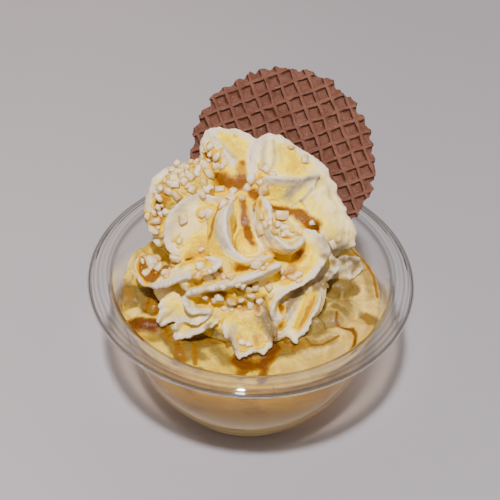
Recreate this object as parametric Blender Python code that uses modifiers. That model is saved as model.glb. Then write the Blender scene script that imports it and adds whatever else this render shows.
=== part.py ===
# Advocaat ice cream sundae: a clear bowl, ice cream, a pool of advocaat, piped whipped cream
# with chopped nuts on it, and a round chocolate wafer that leans in the cream.
# Lengths are written in millimetres and turned into metres by MM.

import math
import random

import bmesh
import bpy
import numpy as np
from mathutils import Matrix, Vector
from mathutils.bvhtree import BVHTree

MM = 0.001
MERGE = 0.00001

# Driving dimensions of the bowl
LIP_RADIUS = 61.0
CREST_RADIUS = 55.0
CREST_HEIGHT = 61.4
FOOT_RADIUS = 31.8
WALL = 0.8
BOWL_STEPS = 32
GAP = 0.3

# Driving dimensions of what fills it
POOL_LEVEL = 48.5
ICE_LEVEL = 43.5
WALL_LEAN = 0.05
FILL_STEPS = BOWL_STEPS
FILL_RINGS = 10

# Driving dimensions of the wafer, and how it leans
WAFER_RADIUS = 36.4
WAFER_HALF = 1.3
WAFER_DIMPLE = 0.75
WAFER_PITCH = 5.5
WAFER_RIDGE = 1.5
WAFER_TEETH = 41
WAFER_TOOTH = 0.6
WAFER_CENTRE = (10.1, 38.0, 83.0)
WAFER_LEAN = 30.0
WAFER_FACING = -15.7
WAFER_GRID_TURN = 31.0
SLOT_GAP = 0.35

# Driving dimensions of the whipped cream
CREAM_VOXEL = 0.7
CREAM_SMOOTHING = 2
CREAM_TRIANGLES = 3300
FOLD_STATIONS = 36
FOLD_END = 0.06

# Mid line of the bowl's wall as radius and height, from the lip down to the middle of the base
BOWL_LINE = [
    (LIP_RADIUS - 0.1, 58.7), (LIP_RADIUS - 0.6, 59.4), (58.5, 60.4), (CREST_RADIUS, CREST_HEIGHT),
    (53.4, 60.7), (51.9, 58.0), (50.2, 53.6), (49.2, 49.0), (48.4, 42.0), (47.5, 33.0),
    (45.4, 24.5), (41.6, 15.8), (37.0, 8.2), (33.6, 3.0), (FOOT_RADIUS, 0.4), (30.2, 0.4),
    (28.2, 2.9), (0.0, 3.2),
]
BOWL_INSIDE = 4

# Soft-serve lumps that stand out of the pool: middle x, y, radius along x, y, top height, turn
ICE_LUMPS = [
    (44.0, 4.0, 12.0, 24.0, 49.6, 0.0),
    (34.0, -9.0, 9.0, 8.0, 51.8, 20.0),
    (28.0, -27.0, 12.0, 6.5, 51.4, 35.0),
    (-45.0, 14.0, 5.0, 13.0, 51.0, 10.0),
    (-37.0, -19.0, 8.0, 6.0, 50.6, -30.0),
    (2.0, 43.0, 24.0, 7.0, 51.0, 0.0),
    (-2.0, 3.0, 41.0, 37.0, 50.4, 0.0),
]

# Rounded masses under the folds: middle, radii
CREAM_BODY = [
    ((-1, -1, 53), (30, 28, 14)),
    ((-3, 3, 62), (27, 25, 14)),
    ((-3, 17, 72), (23, 18, 13)),
    ((0, 28, 79), (18, 10, 11)),
    ((19, 22, 73), (12, 11, 13)),
    ((-25, 17, 65), (12, 12, 15)),
    ((-26, 19, 81), (11, 8, 9)),
    ((-31, -4, 54), (10, 12, 7)),
    ((20, 4, 57), (9, 15, 11)),
    ((-3, 30, 56), (26, 9, 12)),
]

# The folds of the piped cream. Each is a leaf between its crest, the lip that shows, and its root
# in the body. thick is its thickness at the root and lip at the crest.
FOLDS = {
    "back_left_petal": dict(
        crest=[(-18, 31, 85), (-21, 36, 88), (-20, 39, 94), (-17, 40, 96), (-6, 38, 97), (2, 35, 94)],
        root=[(-10, 31, 83), (-11, 33, 85), (-7, 34, 87), (-2, 31, 88)], thick=7.0, lip=1.8),
    "back_peak": dict(
        crest=[(0, 33, 94), (1, 35, 96), (5, 36, 98), (8, 35, 98), (16, 33, 94), (25, 31, 89),
               (29, 28, 85)],
        root=[(0, 26, 87), (4, 22, 87), (13, 22, 86), (20, 24, 84), (26, 23, 80)],
        thick=8.0, lip=1.8),
    "right_shell": dict(
        crest=[(3, 17, 91), (5, 16, 93), (9, 15, 93), (14, 17, 92), (19, 20, 90), (25, 25, 89)],
        root=[(4, 15, 83), (8, 13, 81), (13, 13, 80), (20, 21, 82)],
        thick=8.0, lip=1.8, bulge=-1.0),
    "right_wing": dict(
        crest=[(29, 27, 85), (32, 22, 80), (34, 18, 78), (37, 15, 73), (39, 11, 67), (35, 9, 64),
               (29, 9, 61)],
        root=[(17, 18, 79), (21, 15, 76), (25, 11, 72), (26, 9, 67)],
        thick=14.0, lip=2.0, bulge=2.0),
    "nut_lobe": dict(
        crest=[(-15, 24, 90), (-22, 24, 91), (-28, 26, 88), (-34, 24, 86), (-39, 20, 80),
               (-40, 16, 73), (-38, 13, 66)],
        root=[(-15, 18, 84), (-22, 18, 81), (-29, 17, 73), (-31, 13, 64)], thick=12.0, lip=4.0),
    "left_fan": dict(
        crest=[(-10, 8, 88), (-16, 7, 90), (-21, 8, 90), (-26, 4, 89), (-30, 2, 86), (-32, -1, 81),
               (-32, -3, 77), (-28, -7, 70)],
        root=[(-12, 8, 83), (-14, 6, 79), (-15, 1, 74), (-18, -2, 69)], thick=6.0, lip=1.6),
    "left_crescent": dict(
        crest=[(-8, 5, 91), (-10, -2, 90), (-10, -7, 88), (-9, -11, 85), (-5, -15, 82),
               (0, -17, 81), (8, -15, 82)],
        root=[(-6, 8, 85), (-6, 4, 82), (-4, -1, 79), (5, -6, 75)], thick=7.0, lip=2.8),
    "middle_tongue": dict(
        crest=[(1, 5, 88), (2, 7, 91), (5, 3, 91), (6, -1, 89), (7, -7, 86), (10, -10, 84),
               (14, -11, 82), (20, -2, 80)],
        root=[(3, 7, 85), (5, 4, 82), (10, 1, 77), (17, 4, 74)], thick=9.0, lip=2.6),
    "right_sweep": dict(
        crest=[(19, 3, 80), (25, 1, 78), (28, -2, 75), (25, -10, 72), (19, -16, 70), (14, -19, 69),
               (9, -23, 67), (8, -25, 64), (9, -25, 60), (13, -22, 59), (15, -19, 61)],
        root=[(16, 3, 74), (19, 0, 68), (14, -7, 65), (9, -12, 64), (7, -15, 61), (10, -15, 59)],
        thick=7.0, lip=2.0),
    "lower_left_ridge": dict(
        crest=[(-43, 2, 64), (-44, 0, 60), (-42, -5, 58), (-38, -10, 60), (-32, -16, 66),
               (-24, -19, 73), (-17, -21, 77), (-12, -20, 80), (-11, -18, 81), (-17, -15, 80)],
        root=[(-38, 10, 56), (-35, 1, 57), (-25, -6, 66), (-17, -12, 73), (-16, -12, 74)],
        thick=5.0, lip=2.0),
    "front_ridge": dict(
        crest=[(-24, -22, 68), (-19, -23, 72), (-12, -23, 75), (-4, -23, 78), (3, -21, 80),
               (11, -16, 80)],
        root=[(-19, -13, 63), (-8, -14, 70), (-1, -13, 72), (9, -8, 74)], thick=6.0, lip=2.4),
    "front_curl": dict(
        crest=[(-24, -22, 68), (-24, -24, 66), (-21, -25, 62), (-18, -25, 62), (-14, -25, 62)],
        root=[(-20, -14, 61), (-18, -16, 59), (-13, -17, 60)], thick=3.5, lip=1.8),
    "left_skirt": dict(
        crest=[(-34, -21, 61), (-33, -23, 57), (-33, -24, 53), (-28, -24, 56), (-17, -27, 59),
               (-14, -25, 61)],
        root=[(-29, -14, 62), (-24, -17, 59), (-18, -19, 58), (-13, -18, 60)],
        thick=6.0, lip=1.6),
    "left_skirt_tip": dict(
        crest=[(-27, -27, 58), (-27, -29, 52), (-24, -29, 53), (-20, -29, 55), (-11, -28, 60)],
        root=[(-23, -20, 56), (-20, -19, 54), (-10, -19, 58)], thick=5.0, lip=1.6),
    "front_skirt": dict(
        crest=[(-10, -30, 60), (-6, -34, 56), (-3, -37, 52), (1, -36, 54), (5, -35, 53),
               (8, -33, 54), (10, -29, 59)],
        root=[(-9, -22, 60), (-3, -23, 56), (3, -23, 56), (9, -21, 59)], thick=7.0, lip=1.6),
    "right_skirt": dict(
        crest=[(25, -11, 66), (26, -15, 60), (24, -19, 56), (20, -24, 54), (17, -30, 52)],
        root=[(18, -9, 62), (16, -15, 57), (11, -23, 54)], thick=6.0, lip=2.0),
    "right_tuck": dict(
        crest=[(31, 4, 66), (32, 2, 64), (32, 0, 62), (29, -4, 61), (26, -8, 61)],
        root=[(27, 7, 62), (26, 2, 60), (25, 0, 59)], thick=8.0, lip=1.6),
    "right_lobe": dict(
        crest=[(35, 9, 61), (41, 11, 58), (43, 10, 55), (41, 7, 54), (36, 3, 54), (29, -1, 54)],
        root=[(30, 10, 57), (31, 7, 55), (27, 4, 54)], thick=12.0, lip=5.0),
}

# Piped ridges behind the wafer: their compass directions, and the line each one climbs
BACK_RIDGES = [50, 70, 90, 110, 130, 150]
BACK_AXIS = (-2.0, 5.0)
BACK_FOOT = (38.0, 51.0)
BACK_TOP = (30.0, 70.0)

# Chopped nuts: fold, stretch of the fold, height on its face (0 root, 1 crest), how many, size
NUT_SEED = 11
NUT_SINK = 0.25
NUT_PATCHES = [
    ("nut_lobe", (0.02, 0.55), (0.35, 1.0), 11, 3.6),
    ("nut_lobe", (0.55, 0.95), (0.3, 1.0), 5, 3.4),
    ("back_left_petal", (0.0, 0.35), (0.1, 0.9), 4, 3.4),
    ("left_fan", (0.1, 0.8), (0.35, 0.85), 4, 3.4),
    ("left_crescent", (0.02, 0.3), (0.4, 0.9), 2, 4.2),
    ("middle_tongue", (0.5, 0.98), (0.3, 0.9), 6, 3.6),
    ("right_shell", (0.1, 0.4), (0.7, 1.0), 2, 3.4),
    ("lower_left_ridge", (0.2, 0.75), (0.6, 1.0), 5, 3.4),
    ("front_ridge", (0.1, 0.95), (0.7, 1.0), 6, 3.4),
    ("front_curl", (0.5, 1.0), (0.5, 1.0), 3, 3.4),
    ("right_sweep", (0.5, 0.9), (0.5, 0.9), 3, 3.4),
]


def clear_scene():
    for old in list(bpy.data.objects):
        bpy.data.objects.remove(old, do_unlink=True)


def new_collection(name):
    made = bpy.data.collections.new(name)
    bpy.context.scene.collection.children.link(made)
    return made


def material(name, color, roughness, alpha=1.0, transmission=0.0):
    made = bpy.data.materials.new(name)
    made.use_nodes = True
    shader = made.node_tree.nodes["Principled BSDF"]
    shader.inputs["Base Color"].default_value = (*color, 1.0)
    shader.inputs["Roughness"].default_value = roughness
    shader.inputs["Metallic"].default_value = 0.0
    shader.inputs["Alpha"].default_value = alpha
    shader.inputs["Transmission Weight"].default_value = transmission
    return made


def add_object(name, mesh, collection, finish=None):
    made = bpy.data.objects.new(name, mesh)
    collection.objects.link(made)
    if finish:
        mesh.materials.append(finish)
    return made


def smooth_shade(mesh, angle=40.0):
    mesh.shade_smooth()
    mesh.set_sharp_from_angle(angle=math.radians(angle))


def line_mesh(name, points):
    mesh = bpy.data.meshes.new(name)
    verts = [(r * MM, 0.0, z * MM) for r, z in points]
    mesh.from_pydata(verts, [(i, i + 1) for i in range(len(verts) - 1)], [])
    return mesh


def turned(name, points, steps, collection, finish=None):
    """A profile of radius and height, turned about the Z axis."""
    made = add_object(name, line_mesh(name, points), collection, finish)
    screw = made.modifiers.new("turn", "SCREW")
    screw.steps = steps
    screw.render_steps = steps
    screw.use_merge_vertices = True
    screw.merge_threshold = MERGE
    screw.use_smooth_shade = True
    return made


def as_cutter(made):
    made.hide_render = True
    made.display_type = "WIRE"
    return made


def boolean(target, operation, other=None, group=None, solver="EXACT"):
    cut = target.modifiers.new(operation.lower(), "BOOLEAN")
    cut.operation = operation
    cut.solver = solver
    if group:
        cut.operand_type = "COLLECTION"
        cut.collection = group
    else:
        cut.object = other
    return cut


def apply_modifiers(made):
    """Turn the evaluated shape into the object's own mesh."""
    graph = bpy.context.evaluated_depsgraph_get()
    finished = bpy.data.meshes.new_from_object(made.evaluated_get(graph))
    made.modifiers.clear()
    made.data = finished


def split_quads(mesh):
    """Triangles by the shorter diagonal, so two shapes on the same points match."""
    shape = bmesh.new()
    shape.from_mesh(mesh)
    bmesh.ops.triangulate(shape, faces=shape.faces[:], quad_method="SHORT_EDGE")
    shape.to_mesh(mesh)
    shape.free()


def keep_largest_body(mesh):
    """Drop the loose scraps that a cut leaves, and any sealed hollow inside."""
    shape = bmesh.new()
    shape.from_mesh(mesh)
    left = set(shape.verts)
    bodies = []
    while left:
        stack = [left.pop()]
        body = set(stack)
        while stack:
            for edge in stack.pop().link_edges:
                for vert in edge.verts:
                    if vert not in body:
                        body.add(vert)
                        stack.append(vert)
        left -= body
        bodies.append(body)
    largest = max(bodies, key=len)
    loose = [vert for body in bodies if body is not largest for vert in body]
    bmesh.ops.delete(shape, geom=loose, context="VERTS")
    shape.to_mesh(mesh)
    shape.free()


# Bowl

def bowl(collection, finish):
    made = turned("bowl", BOWL_LINE, BOWL_STEPS, collection, finish)
    wall = made.modifiers.new("wall", "SOLIDIFY")
    wall.thickness = WALL * MM
    wall.offset = 0.0
    wall.use_even_offset = True
    return made


def inner_line(gap):
    """The wall's inner side moved in by a gap, as radius and height from the base up."""
    shift = WALL / 2 + gap
    floor = BOWL_LINE[-1][1] + shift
    line = BOWL_LINE[BOWL_INSIDE:]
    moved = []
    for i, (radius, height) in enumerate(line[:-1]):
        before = line[max(i - 1, 0)]
        after = line[i + 1]
        along = Vector((after[0] - before[0], after[1] - before[1])).normalized()
        if height + along.x * -shift > floor:
            moved.append((radius + along.y * shift, height - along.x * shift))
    corner = moved[-1]
    return [(0.0, floor), (corner[0] - (corner[1] - floor), floor)] + moved[::-1]


def wall_radius(line, height):
    """Radius of a line of radius and height points at one height."""
    for (r0, z0), (r1, z1) in zip(line, line[1:]):
        if z0 <= height <= z1 and z1 > z0:
            return r0 + (r1 - r0) * (height - z0) / (z1 - z0)
    return line[-1][0]


# Ice cream and advocaat

def ice_height(x, y):
    """Top of the ice cream over a point of the bowl, in millimetres."""
    top = ICE_LEVEL
    for mx, my, rx, ry, peak, turn in ICE_LUMPS:
        angle = math.radians(turn)
        u = ((x - mx) * math.cos(angle) + (y - my) * math.sin(angle)) / rx
        v = ((y - my) * math.cos(angle) - (x - mx) * math.sin(angle)) / ry
        inside = 1.0 - (u * u + v * v) ** 1.5
        if inside > 0.0:
            top = max(top, ICE_LEVEL + (peak - ICE_LEVEL) * inside ** 0.6)
    return top


def poured(name, collection, finish=None, lift=0.0, brim=0.0):
    """The ice cream. With a lift and a brim, the cutter that follows its top a gap above it."""
    line = inner_line(GAP)
    outer = wall_radius(line, ICE_LEVEL)
    below = ICE_LEVEL - 4.0
    top = [(outer * i / FILL_RINGS, ICE_LEVEL) for i in range(FILL_RINGS + 1)]
    if brim:
        side = [(brim, ICE_LEVEL), (brim, 20.0), (0.0, 20.0)]
    else:
        side = [(wall_radius(line, ICE_LEVEL - i), ICE_LEVEL - i) for i in (1.3, 2.6)]
        side += [point for point in line[::-1] if point[1] < below]
    made = turned(name, top + side, FILL_STEPS, collection, finish)
    apply_modifiers(made)
    for vert in made.data.vertices:
        x, y, z = vert.co / MM
        radius = math.hypot(x, y)
        if z < below + 0.01:
            continue
        if radius < outer * (FILL_RINGS - 0.5) / FILL_RINGS:
            vert.co.z = (ice_height(x, y) + lift) * MM
            continue
        edge = ice_height(x * outer / radius, y * outer / radius)
        height = below + (edge - below) * (z - below) / (ICE_LEVEL - below)
        reach = wall_radius(line, height) - WALL_LEAN * max(height - ICE_LEVEL, 0.0)
        if radius > outer + 0.5:
            reach = brim
        vert.co = (x * reach / radius * MM, y * reach / radius * MM, (height + lift) * MM)
    split_quads(made.data)
    smooth_shade(made.data, 60.0)
    return made


def ice_cream(collection, slot, finish):
    made = poured("ice_cream", collection, finish)
    boolean(made, "DIFFERENCE", slot, solver="MANIFOLD")
    apply_modifiers(made)
    return made


def ice_cutter(cutters):
    return as_cutter(poured("ice_cut", cutters, lift=GAP, brim=57.0))


def pool_cutter(cutters):
    level = POOL_LEVEL + GAP
    made = turned("pool_cut", [(0.0, level), (57.0, level), (57.0, 15.0), (0.0, 15.0)], 16, cutters)
    return as_cutter(made)


def advocaat(collection, ice, finish):
    line = inner_line(GAP)
    floor = ICE_LEVEL - 2.0
    profile = [(0.0, POOL_LEVEL), (wall_radius(line, POOL_LEVEL), POOL_LEVEL)]
    profile += [point for point in line[::-1] if floor < point[1] < POOL_LEVEL]
    profile += [(wall_radius(line, floor), floor), (0.0, floor)]
    made = turned("advocaat", profile, FILL_STEPS, collection, finish)
    boolean(made, "DIFFERENCE", ice, solver="MANIFOLD")
    apply_modifiers(made)
    keep_largest_body(made.data)
    smooth_shade(made.data, 30.0)
    return made


# Whipped cream

def smooth_line(points, count):
    """count points on a smooth curve through the given ones."""
    knots = np.asarray(points, float)
    place = np.r_[0.0, np.cumsum(np.linalg.norm(np.diff(knots, axis=0), axis=1) ** 0.5)]
    slope = np.zeros_like(knots)
    before = np.diff(knots, axis=0) / np.diff(place)[:, None]
    step = np.diff(place)[:, None]
    slope[1:-1] = (before[:-1] * step[1:] + before[1:] * step[:-1]) / (step[:-1] + step[1:])
    slope[0] = before[0]
    slope[-1] = before[-1]
    out = []
    for where in np.linspace(0.0, place[-1], count):
        i = min(int(np.searchsorted(place, where, side="right")) - 1, len(knots) - 2)
        h = place[i + 1] - place[i]
        s = (where - place[i]) / h
        out.append((2 * s**3 - 3 * s**2 + 1) * knots[i] + (s**3 - 2 * s**2 + s) * h * slope[i]
                   + (3 * s**2 - 2 * s**3) * knots[i + 1] + (s**3 - s**2) * h * slope[i + 1])
    return np.array(out)


def fold_frames(fold):
    """Crest, root and sideways direction at each station of a fold."""
    crest = smooth_line(fold["crest"], FOLD_STATIONS)
    root = smooth_line(fold["root"], FOLD_STATIONS)
    along = np.gradient(crest, axis=0) + np.gradient(root, axis=0)
    side = np.cross(along, crest - root)
    side /= np.linalg.norm(side, axis=1)[:, None]
    return crest, root, side


def fold_section(crest, root, side, fold, size):
    """The closed outline of a fold at one station: up one face, round the lip and down the other."""
    rise = crest - root
    up = rise / np.linalg.norm(rise)
    lip = fold["lip"] / 2
    heights = np.linspace(0.0, 1.0, 7)
    half = lip + (fold["thick"] / 2 - lip) * (1.0 - heights) ** 1.3
    bow = fold.get("bulge", 0.0) * np.sin(math.pi * heights)
    near = [root + rise * h + side * (w * size + b) for h, w, b in zip(heights, half, bow)]
    far = [root + rise * h - side * (w * size - b) for h, w, b in zip(heights, half, bow)]
    tip = [crest + (up * math.sin(a) + side * math.cos(a)) * lip * size
           for a in np.radians((35, 70, 110, 145))]
    return near + tip + far[::-1]


def fold_mesh(name, fold):
    crest, root, side = fold_frames(fold)
    verts = []
    for i in range(FOLD_STATIONS):
        t = i / (FOLD_STATIONS - 1)
        size = math.sqrt(max(min(1.0, min(t, 1.0 - t) / FOLD_END), 0.02))
        section = fold_section(crest[i], root[i], side[i], fold, size)
        verts += [tuple(point * MM) for point in section]
    count = len(verts) // FOLD_STATIONS
    faces = [tuple(range(count))[::-1], tuple(range(len(verts) - count, len(verts)))]
    for i in range(FOLD_STATIONS - 1):
        for j in range(count):
            a = i * count + j
            b = i * count + (j + 1) % count
            faces.append((a, b, b + count, a + count))
    mesh = bpy.data.meshes.new(name)
    mesh.from_pydata(verts, [], faces)
    shape = bmesh.new()
    shape.from_mesh(mesh)
    bmesh.ops.triangulate(shape, faces=[face for face in shape.faces if len(face.verts) > 4])
    bmesh.ops.recalc_face_normals(shape, faces=shape.faces)
    shape.to_mesh(mesh)
    shape.free()
    return mesh


def back_ridge(direction):
    """A piped ridge that climbs the cream behind the wafer."""
    angle = math.radians(direction)
    turn = math.radians(direction + 14)

    def at(radius, height, heading):
        return (BACK_AXIS[0] + radius * math.cos(heading),
                BACK_AXIS[1] + radius * math.sin(heading), height)

    middle = ((BACK_FOOT[0] + BACK_TOP[0]) / 2 + 2.5, (BACK_FOOT[1] + BACK_TOP[1]) / 2)
    return dict(
        crest=[at(*BACK_FOOT, angle), at(*middle, (angle + turn) / 2), at(*BACK_TOP, turn)],
        root=[at(BACK_FOOT[0] - 9, BACK_FOOT[1], angle), at(BACK_TOP[0] - 9, BACK_TOP[1] - 4, turn)],
        thick=8.0, lip=2.6)


def rounded_mass(name, middle, radii):
    mesh = bpy.data.meshes.new(name)
    shape = bmesh.new()
    place = Matrix.Translation(Vector(middle) * MM) @ Matrix.Diagonal((*[r * MM for r in radii], 1.0))
    bmesh.ops.create_uvsphere(shape, u_segments=32, v_segments=20, radius=1.0, matrix=place)
    shape.to_mesh(mesh)
    shape.free()
    return mesh


def joined_mesh(name, meshes):
    """One mesh of several closed shapes that run into each other."""
    shape = bmesh.new()
    for mesh in meshes:
        shape.from_mesh(mesh)
        bpy.data.meshes.remove(mesh)
    whole = bpy.data.meshes.new(name)
    shape.to_mesh(whole)
    shape.free()
    return whole


def chopped_nut(place, size, rng):
    """A small broken piece with flat faces."""
    mesh = bpy.data.meshes.new("nut")
    shape = bmesh.new()
    bmesh.ops.create_icosphere(shape, subdivisions=1, radius=size / 2 * MM)
    stretch = Vector((rng.uniform(0.9, 1.3), rng.uniform(0.65, 0.95), rng.uniform(0.5, 0.75)))
    for vert in shape.verts:
        vert.co = vert.co * stretch * rng.uniform(0.85, 1.12)
    turn = Matrix.Rotation(rng.uniform(0, math.tau), 4, "Z")
    turn = turn @ Matrix.Rotation(rng.uniform(-0.5, 0.5), 4, "X")
    bmesh.ops.transform(shape, matrix=Matrix.Translation(place) @ turn, verts=shape.verts)
    shape.to_mesh(mesh)
    shape.free()
    return mesh


def nut_places(cream, rng):
    """Points on the cream's skin where nuts lie, from the patches of each fold."""
    skin = BVHTree.FromPolygons([vert.co for vert in cream.vertices],
                                [tuple(face.vertices) for face in cream.polygons])
    lean = wafer_frame()
    placed = []
    for name, stretch, heights, count, size in NUT_PATCHES:
        crest, root, side = fold_frames(FOLDS[name])
        made = 0
        for _ in range(count * 40):
            i = round(rng.uniform(*stretch) * (FOLD_STATIONS - 1))
            middle = root[i] + (crest[i] - root[i]) * rng.uniform(*heights)
            start = Vector(middle + np.array((0.0, -20.0, 22.0))) * MM
            hit, normal, _, _ = skin.ray_cast(start, Vector((0.0, 20.0, -22.0)))
            nut = size * rng.uniform(0.85, 1.25)
            if hit is None or (hit - Vector(middle) * MM).length > 9 * MM:
                continue
            place = hit + normal * nut * (0.5 - NUT_SINK) * MM
            local = lean.inverted() @ place
            if abs(local.z) < (WAFER_HALF + nut) * MM or place.z < (POOL_LEVEL + 5.0) * MM:
                continue
            if any((place - other).length < (nut + width) * 0.5 * MM for other, width in placed):
                continue
            placed.append((place, nut))
            made += 1
            if made == count:
                break
    return placed


def whipped_cream(collection, cutters, finish):
    folds = dict(FOLDS)
    for direction in BACK_RIDGES:
        folds[f"back_ridge_{direction}"] = back_ridge(direction)
    shapes = [fold_mesh(name, fold) for name, fold in folds.items()]
    shapes += [rounded_mass("mass", middle, radii) for middle, radii in CREAM_BODY]
    made = add_object("whipped_cream", joined_mesh("whipped_cream", shapes), collection, finish)
    skin = made.modifiers.new("skin", "REMESH")
    skin.mode = "VOXEL"
    skin.voxel_size = CREAM_VOXEL * MM
    soften = made.modifiers.new("soften", "SMOOTH")
    soften.factor = 0.5
    soften.iterations = CREAM_SMOOTHING
    apply_modifiers(made)
    keep_largest_body(made.data)
    thin = made.modifiers.new("thin", "DECIMATE")
    thin.ratio = CREAM_TRIANGLES / (2 * len(made.data.polygons))
    for cutter in cutters:
        boolean(made, "DIFFERENCE", cutter, solver="MANIFOLD")
    apply_modifiers(made)
    keep_largest_body(made.data)
    add_nuts(made)
    smooth_shade(made.data, 50.0)
    return made


def add_nuts(made):
    """Fuse the chopped nuts to the cream."""
    rng = random.Random(NUT_SEED)
    nuts = new_collection("nuts")
    for place, size in nut_places(made.data, rng):
        add_object("nut", chopped_nut(place, size, rng), nuts)
    boolean(made, "UNION", group=nuts, solver="MANIFOLD")
    apply_modifiers(made)
    keep_largest_body(made.data)
    for nut in list(nuts.objects):
        bpy.data.objects.remove(nut, do_unlink=True)
    bpy.data.collections.remove(nuts)


# Wafer

def wafer_frame():
    """Matrix from the wafer's own plane, with its grid along X and Y, to its place in the cream."""
    lean = math.radians(WAFER_LEAN)
    facing = math.radians(WAFER_FACING)
    flat = math.cos(lean)
    normal = Vector((math.sin(facing) * flat, -math.cos(facing) * flat, math.sin(lean)))
    level = Vector((0.0, 0.0, 1.0)).cross(normal).normalized()
    up = normal.cross(level)
    turn = math.radians(WAFER_GRID_TURN)
    across = level * math.cos(turn) + up * math.sin(turn)
    along = normal.cross(across)
    axes = Matrix((across, along, normal)).transposed().to_4x4()
    return Matrix.Translation(Vector(WAFER_CENTRE) * MM) @ axes


def wafer_slot(cutters):
    mesh = bpy.data.meshes.new("wafer_slot")
    shape = bmesh.new()
    radius = (WAFER_RADIUS + WAFER_TOOTH + SLOT_GAP) * MM
    depth = 2 * (WAFER_HALF + SLOT_GAP) * MM
    bmesh.ops.create_cone(shape, cap_ends=True, segments=48, radius1=radius, radius2=radius,
                          depth=depth, matrix=wafer_frame())
    shape.to_mesh(mesh)
    shape.free()
    return as_cutter(add_object("wafer_slot", mesh, cutters))


def wafer_slab():
    """A square slab with a dimple in every cell of both faces."""
    cells = 2 * math.ceil((WAFER_RADIUS + WAFER_TOOTH) / WAFER_PITCH)
    slab = bmesh.new()
    bmesh.ops.create_grid(slab, x_segments=cells, y_segments=cells, size=cells * WAFER_PITCH / 2 * MM)
    bmesh.ops.translate(slab, vec=(0.0, 0.0, WAFER_HALF * MM), verts=slab.verts)
    face_set = slab.faces[:]
    inset = (WAFER_RIDGE / 2) * MM
    bmesh.ops.inset_individual(slab, faces=face_set, thickness=inset, depth=-WAFER_DIMPLE * MM)
    below = bmesh.ops.duplicate(slab, geom=slab.verts[:] + slab.edges[:] + slab.faces[:])["geom"]
    turned_over = [item for item in below if isinstance(item, bmesh.types.BMVert)]
    for vert in turned_over:
        vert.co.z = -vert.co.z
    bmesh.ops.reverse_faces(slab, faces=[item for item in below if isinstance(item, bmesh.types.BMFace)])
    rims = [edge for edge in slab.edges if len(edge.link_faces) == 1]
    bmesh.ops.bridge_loops(slab, edges=rims)
    bmesh.ops.recalc_face_normals(slab, faces=slab.faces)
    return slab


def wafer_outline(cutters):
    """A disc with a low tooth where each ridge runs out."""
    count = 2 * WAFER_TEETH
    points = []
    for i in range(count):
        angle = math.tau * i / count
        radius = (WAFER_RADIUS + (WAFER_TOOTH if i % 2 else -WAFER_TOOTH)) * MM
        points.append((radius * math.cos(angle), radius * math.sin(angle), -4 * WAFER_HALF * MM))
    shape = bmesh.new()
    base = shape.faces.new([shape.verts.new(point) for point in points])
    top = bmesh.ops.extrude_face_region(shape, geom=[base])["geom"]
    bmesh.ops.translate(shape, vec=(0.0, 0.0, 8 * WAFER_HALF * MM),
                        verts=[item for item in top if isinstance(item, bmesh.types.BMVert)])
    bmesh.ops.recalc_face_normals(shape, faces=shape.faces)
    mesh = bpy.data.meshes.new("wafer_outline")
    shape.to_mesh(mesh)
    shape.free()
    return as_cutter(add_object("wafer_outline", mesh, cutters))


def wafer(collection, cutters, finish):
    slab = wafer_slab()
    mesh = bpy.data.meshes.new("wafer")
    slab.to_mesh(mesh)
    slab.free()
    made = add_object("wafer", mesh, collection, finish)
    boolean(made, "INTERSECT", wafer_outline(cutters))
    apply_modifiers(made)
    keep_largest_body(made.data)
    made.data.transform(wafer_frame())
    return made


def main():
    clear_scene()
    sundae = new_collection("advocaat_sundae")
    cutters = new_collection("cutters")
    clear = material("clear_plastic", (0.93, 0.94, 0.95), 0.05, alpha=0.3, transmission=1.0)
    vanilla = material("ice_cream", (0.86, 0.72, 0.45), 0.4)
    liqueur = material("advocaat", (0.87, 0.66, 0.25), 0.12)
    cream = material("whipped_cream", (0.92, 0.88, 0.78), 0.4)
    cocoa = material("wafer", (0.27, 0.10, 0.065), 0.65)
    bowl(sundae, clear)
    slot = wafer_slot(cutters)
    ice_cream(sundae, slot, vanilla)
    ice = ice_cutter(cutters)
    advocaat(sundae, ice, liqueur)
    whipped_cream(sundae, (ice, pool_cutter(cutters), slot), cream)
    wafer(sundae, cutters, cocoa)


main()
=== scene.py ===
import math
import random

import bmesh
import bpy
import numpy as np
from mathutils import Matrix, Vector, noise
from mathutils.bvhtree import BVHTree


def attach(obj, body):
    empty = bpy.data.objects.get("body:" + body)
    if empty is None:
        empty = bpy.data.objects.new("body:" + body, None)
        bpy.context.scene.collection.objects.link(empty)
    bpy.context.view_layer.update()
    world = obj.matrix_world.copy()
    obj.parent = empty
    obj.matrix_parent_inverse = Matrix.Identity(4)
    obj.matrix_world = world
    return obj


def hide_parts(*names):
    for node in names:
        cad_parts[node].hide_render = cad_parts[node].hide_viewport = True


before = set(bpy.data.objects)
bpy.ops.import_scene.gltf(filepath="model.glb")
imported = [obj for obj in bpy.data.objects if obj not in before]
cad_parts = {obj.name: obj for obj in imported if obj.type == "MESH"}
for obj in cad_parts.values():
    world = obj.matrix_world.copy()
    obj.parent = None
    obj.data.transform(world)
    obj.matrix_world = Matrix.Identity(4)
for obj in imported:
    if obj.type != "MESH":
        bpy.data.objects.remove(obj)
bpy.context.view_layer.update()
mm = 0.001

viewer = {
    "target": (-0.8, 12.4, 59.5),   # mm, the point the photo is centred on
    "elevation": 42.1,              # degrees
    "distance": 426.0,
    "roll": 2.08,                   # degrees, the right side of the photo hangs lower
    "lens": 79.2,
    "sensor": 36.0,
    "photoSide": 500,
}


# Small tools

def deselect():
    if bpy.context.object and bpy.context.object.mode != "OBJECT":
        bpy.ops.object.mode_set(mode="OBJECT")
    bpy.ops.object.select_all(action="DESELECT")


def select(piece):
    deselect()
    piece.select_set(True)
    bpy.context.view_layer.objects.active = piece


def addMesh(name, mesh):
    piece = bpy.data.objects.new(name, mesh)
    bpy.context.scene.collection.objects.link(piece)
    return piece


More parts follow.
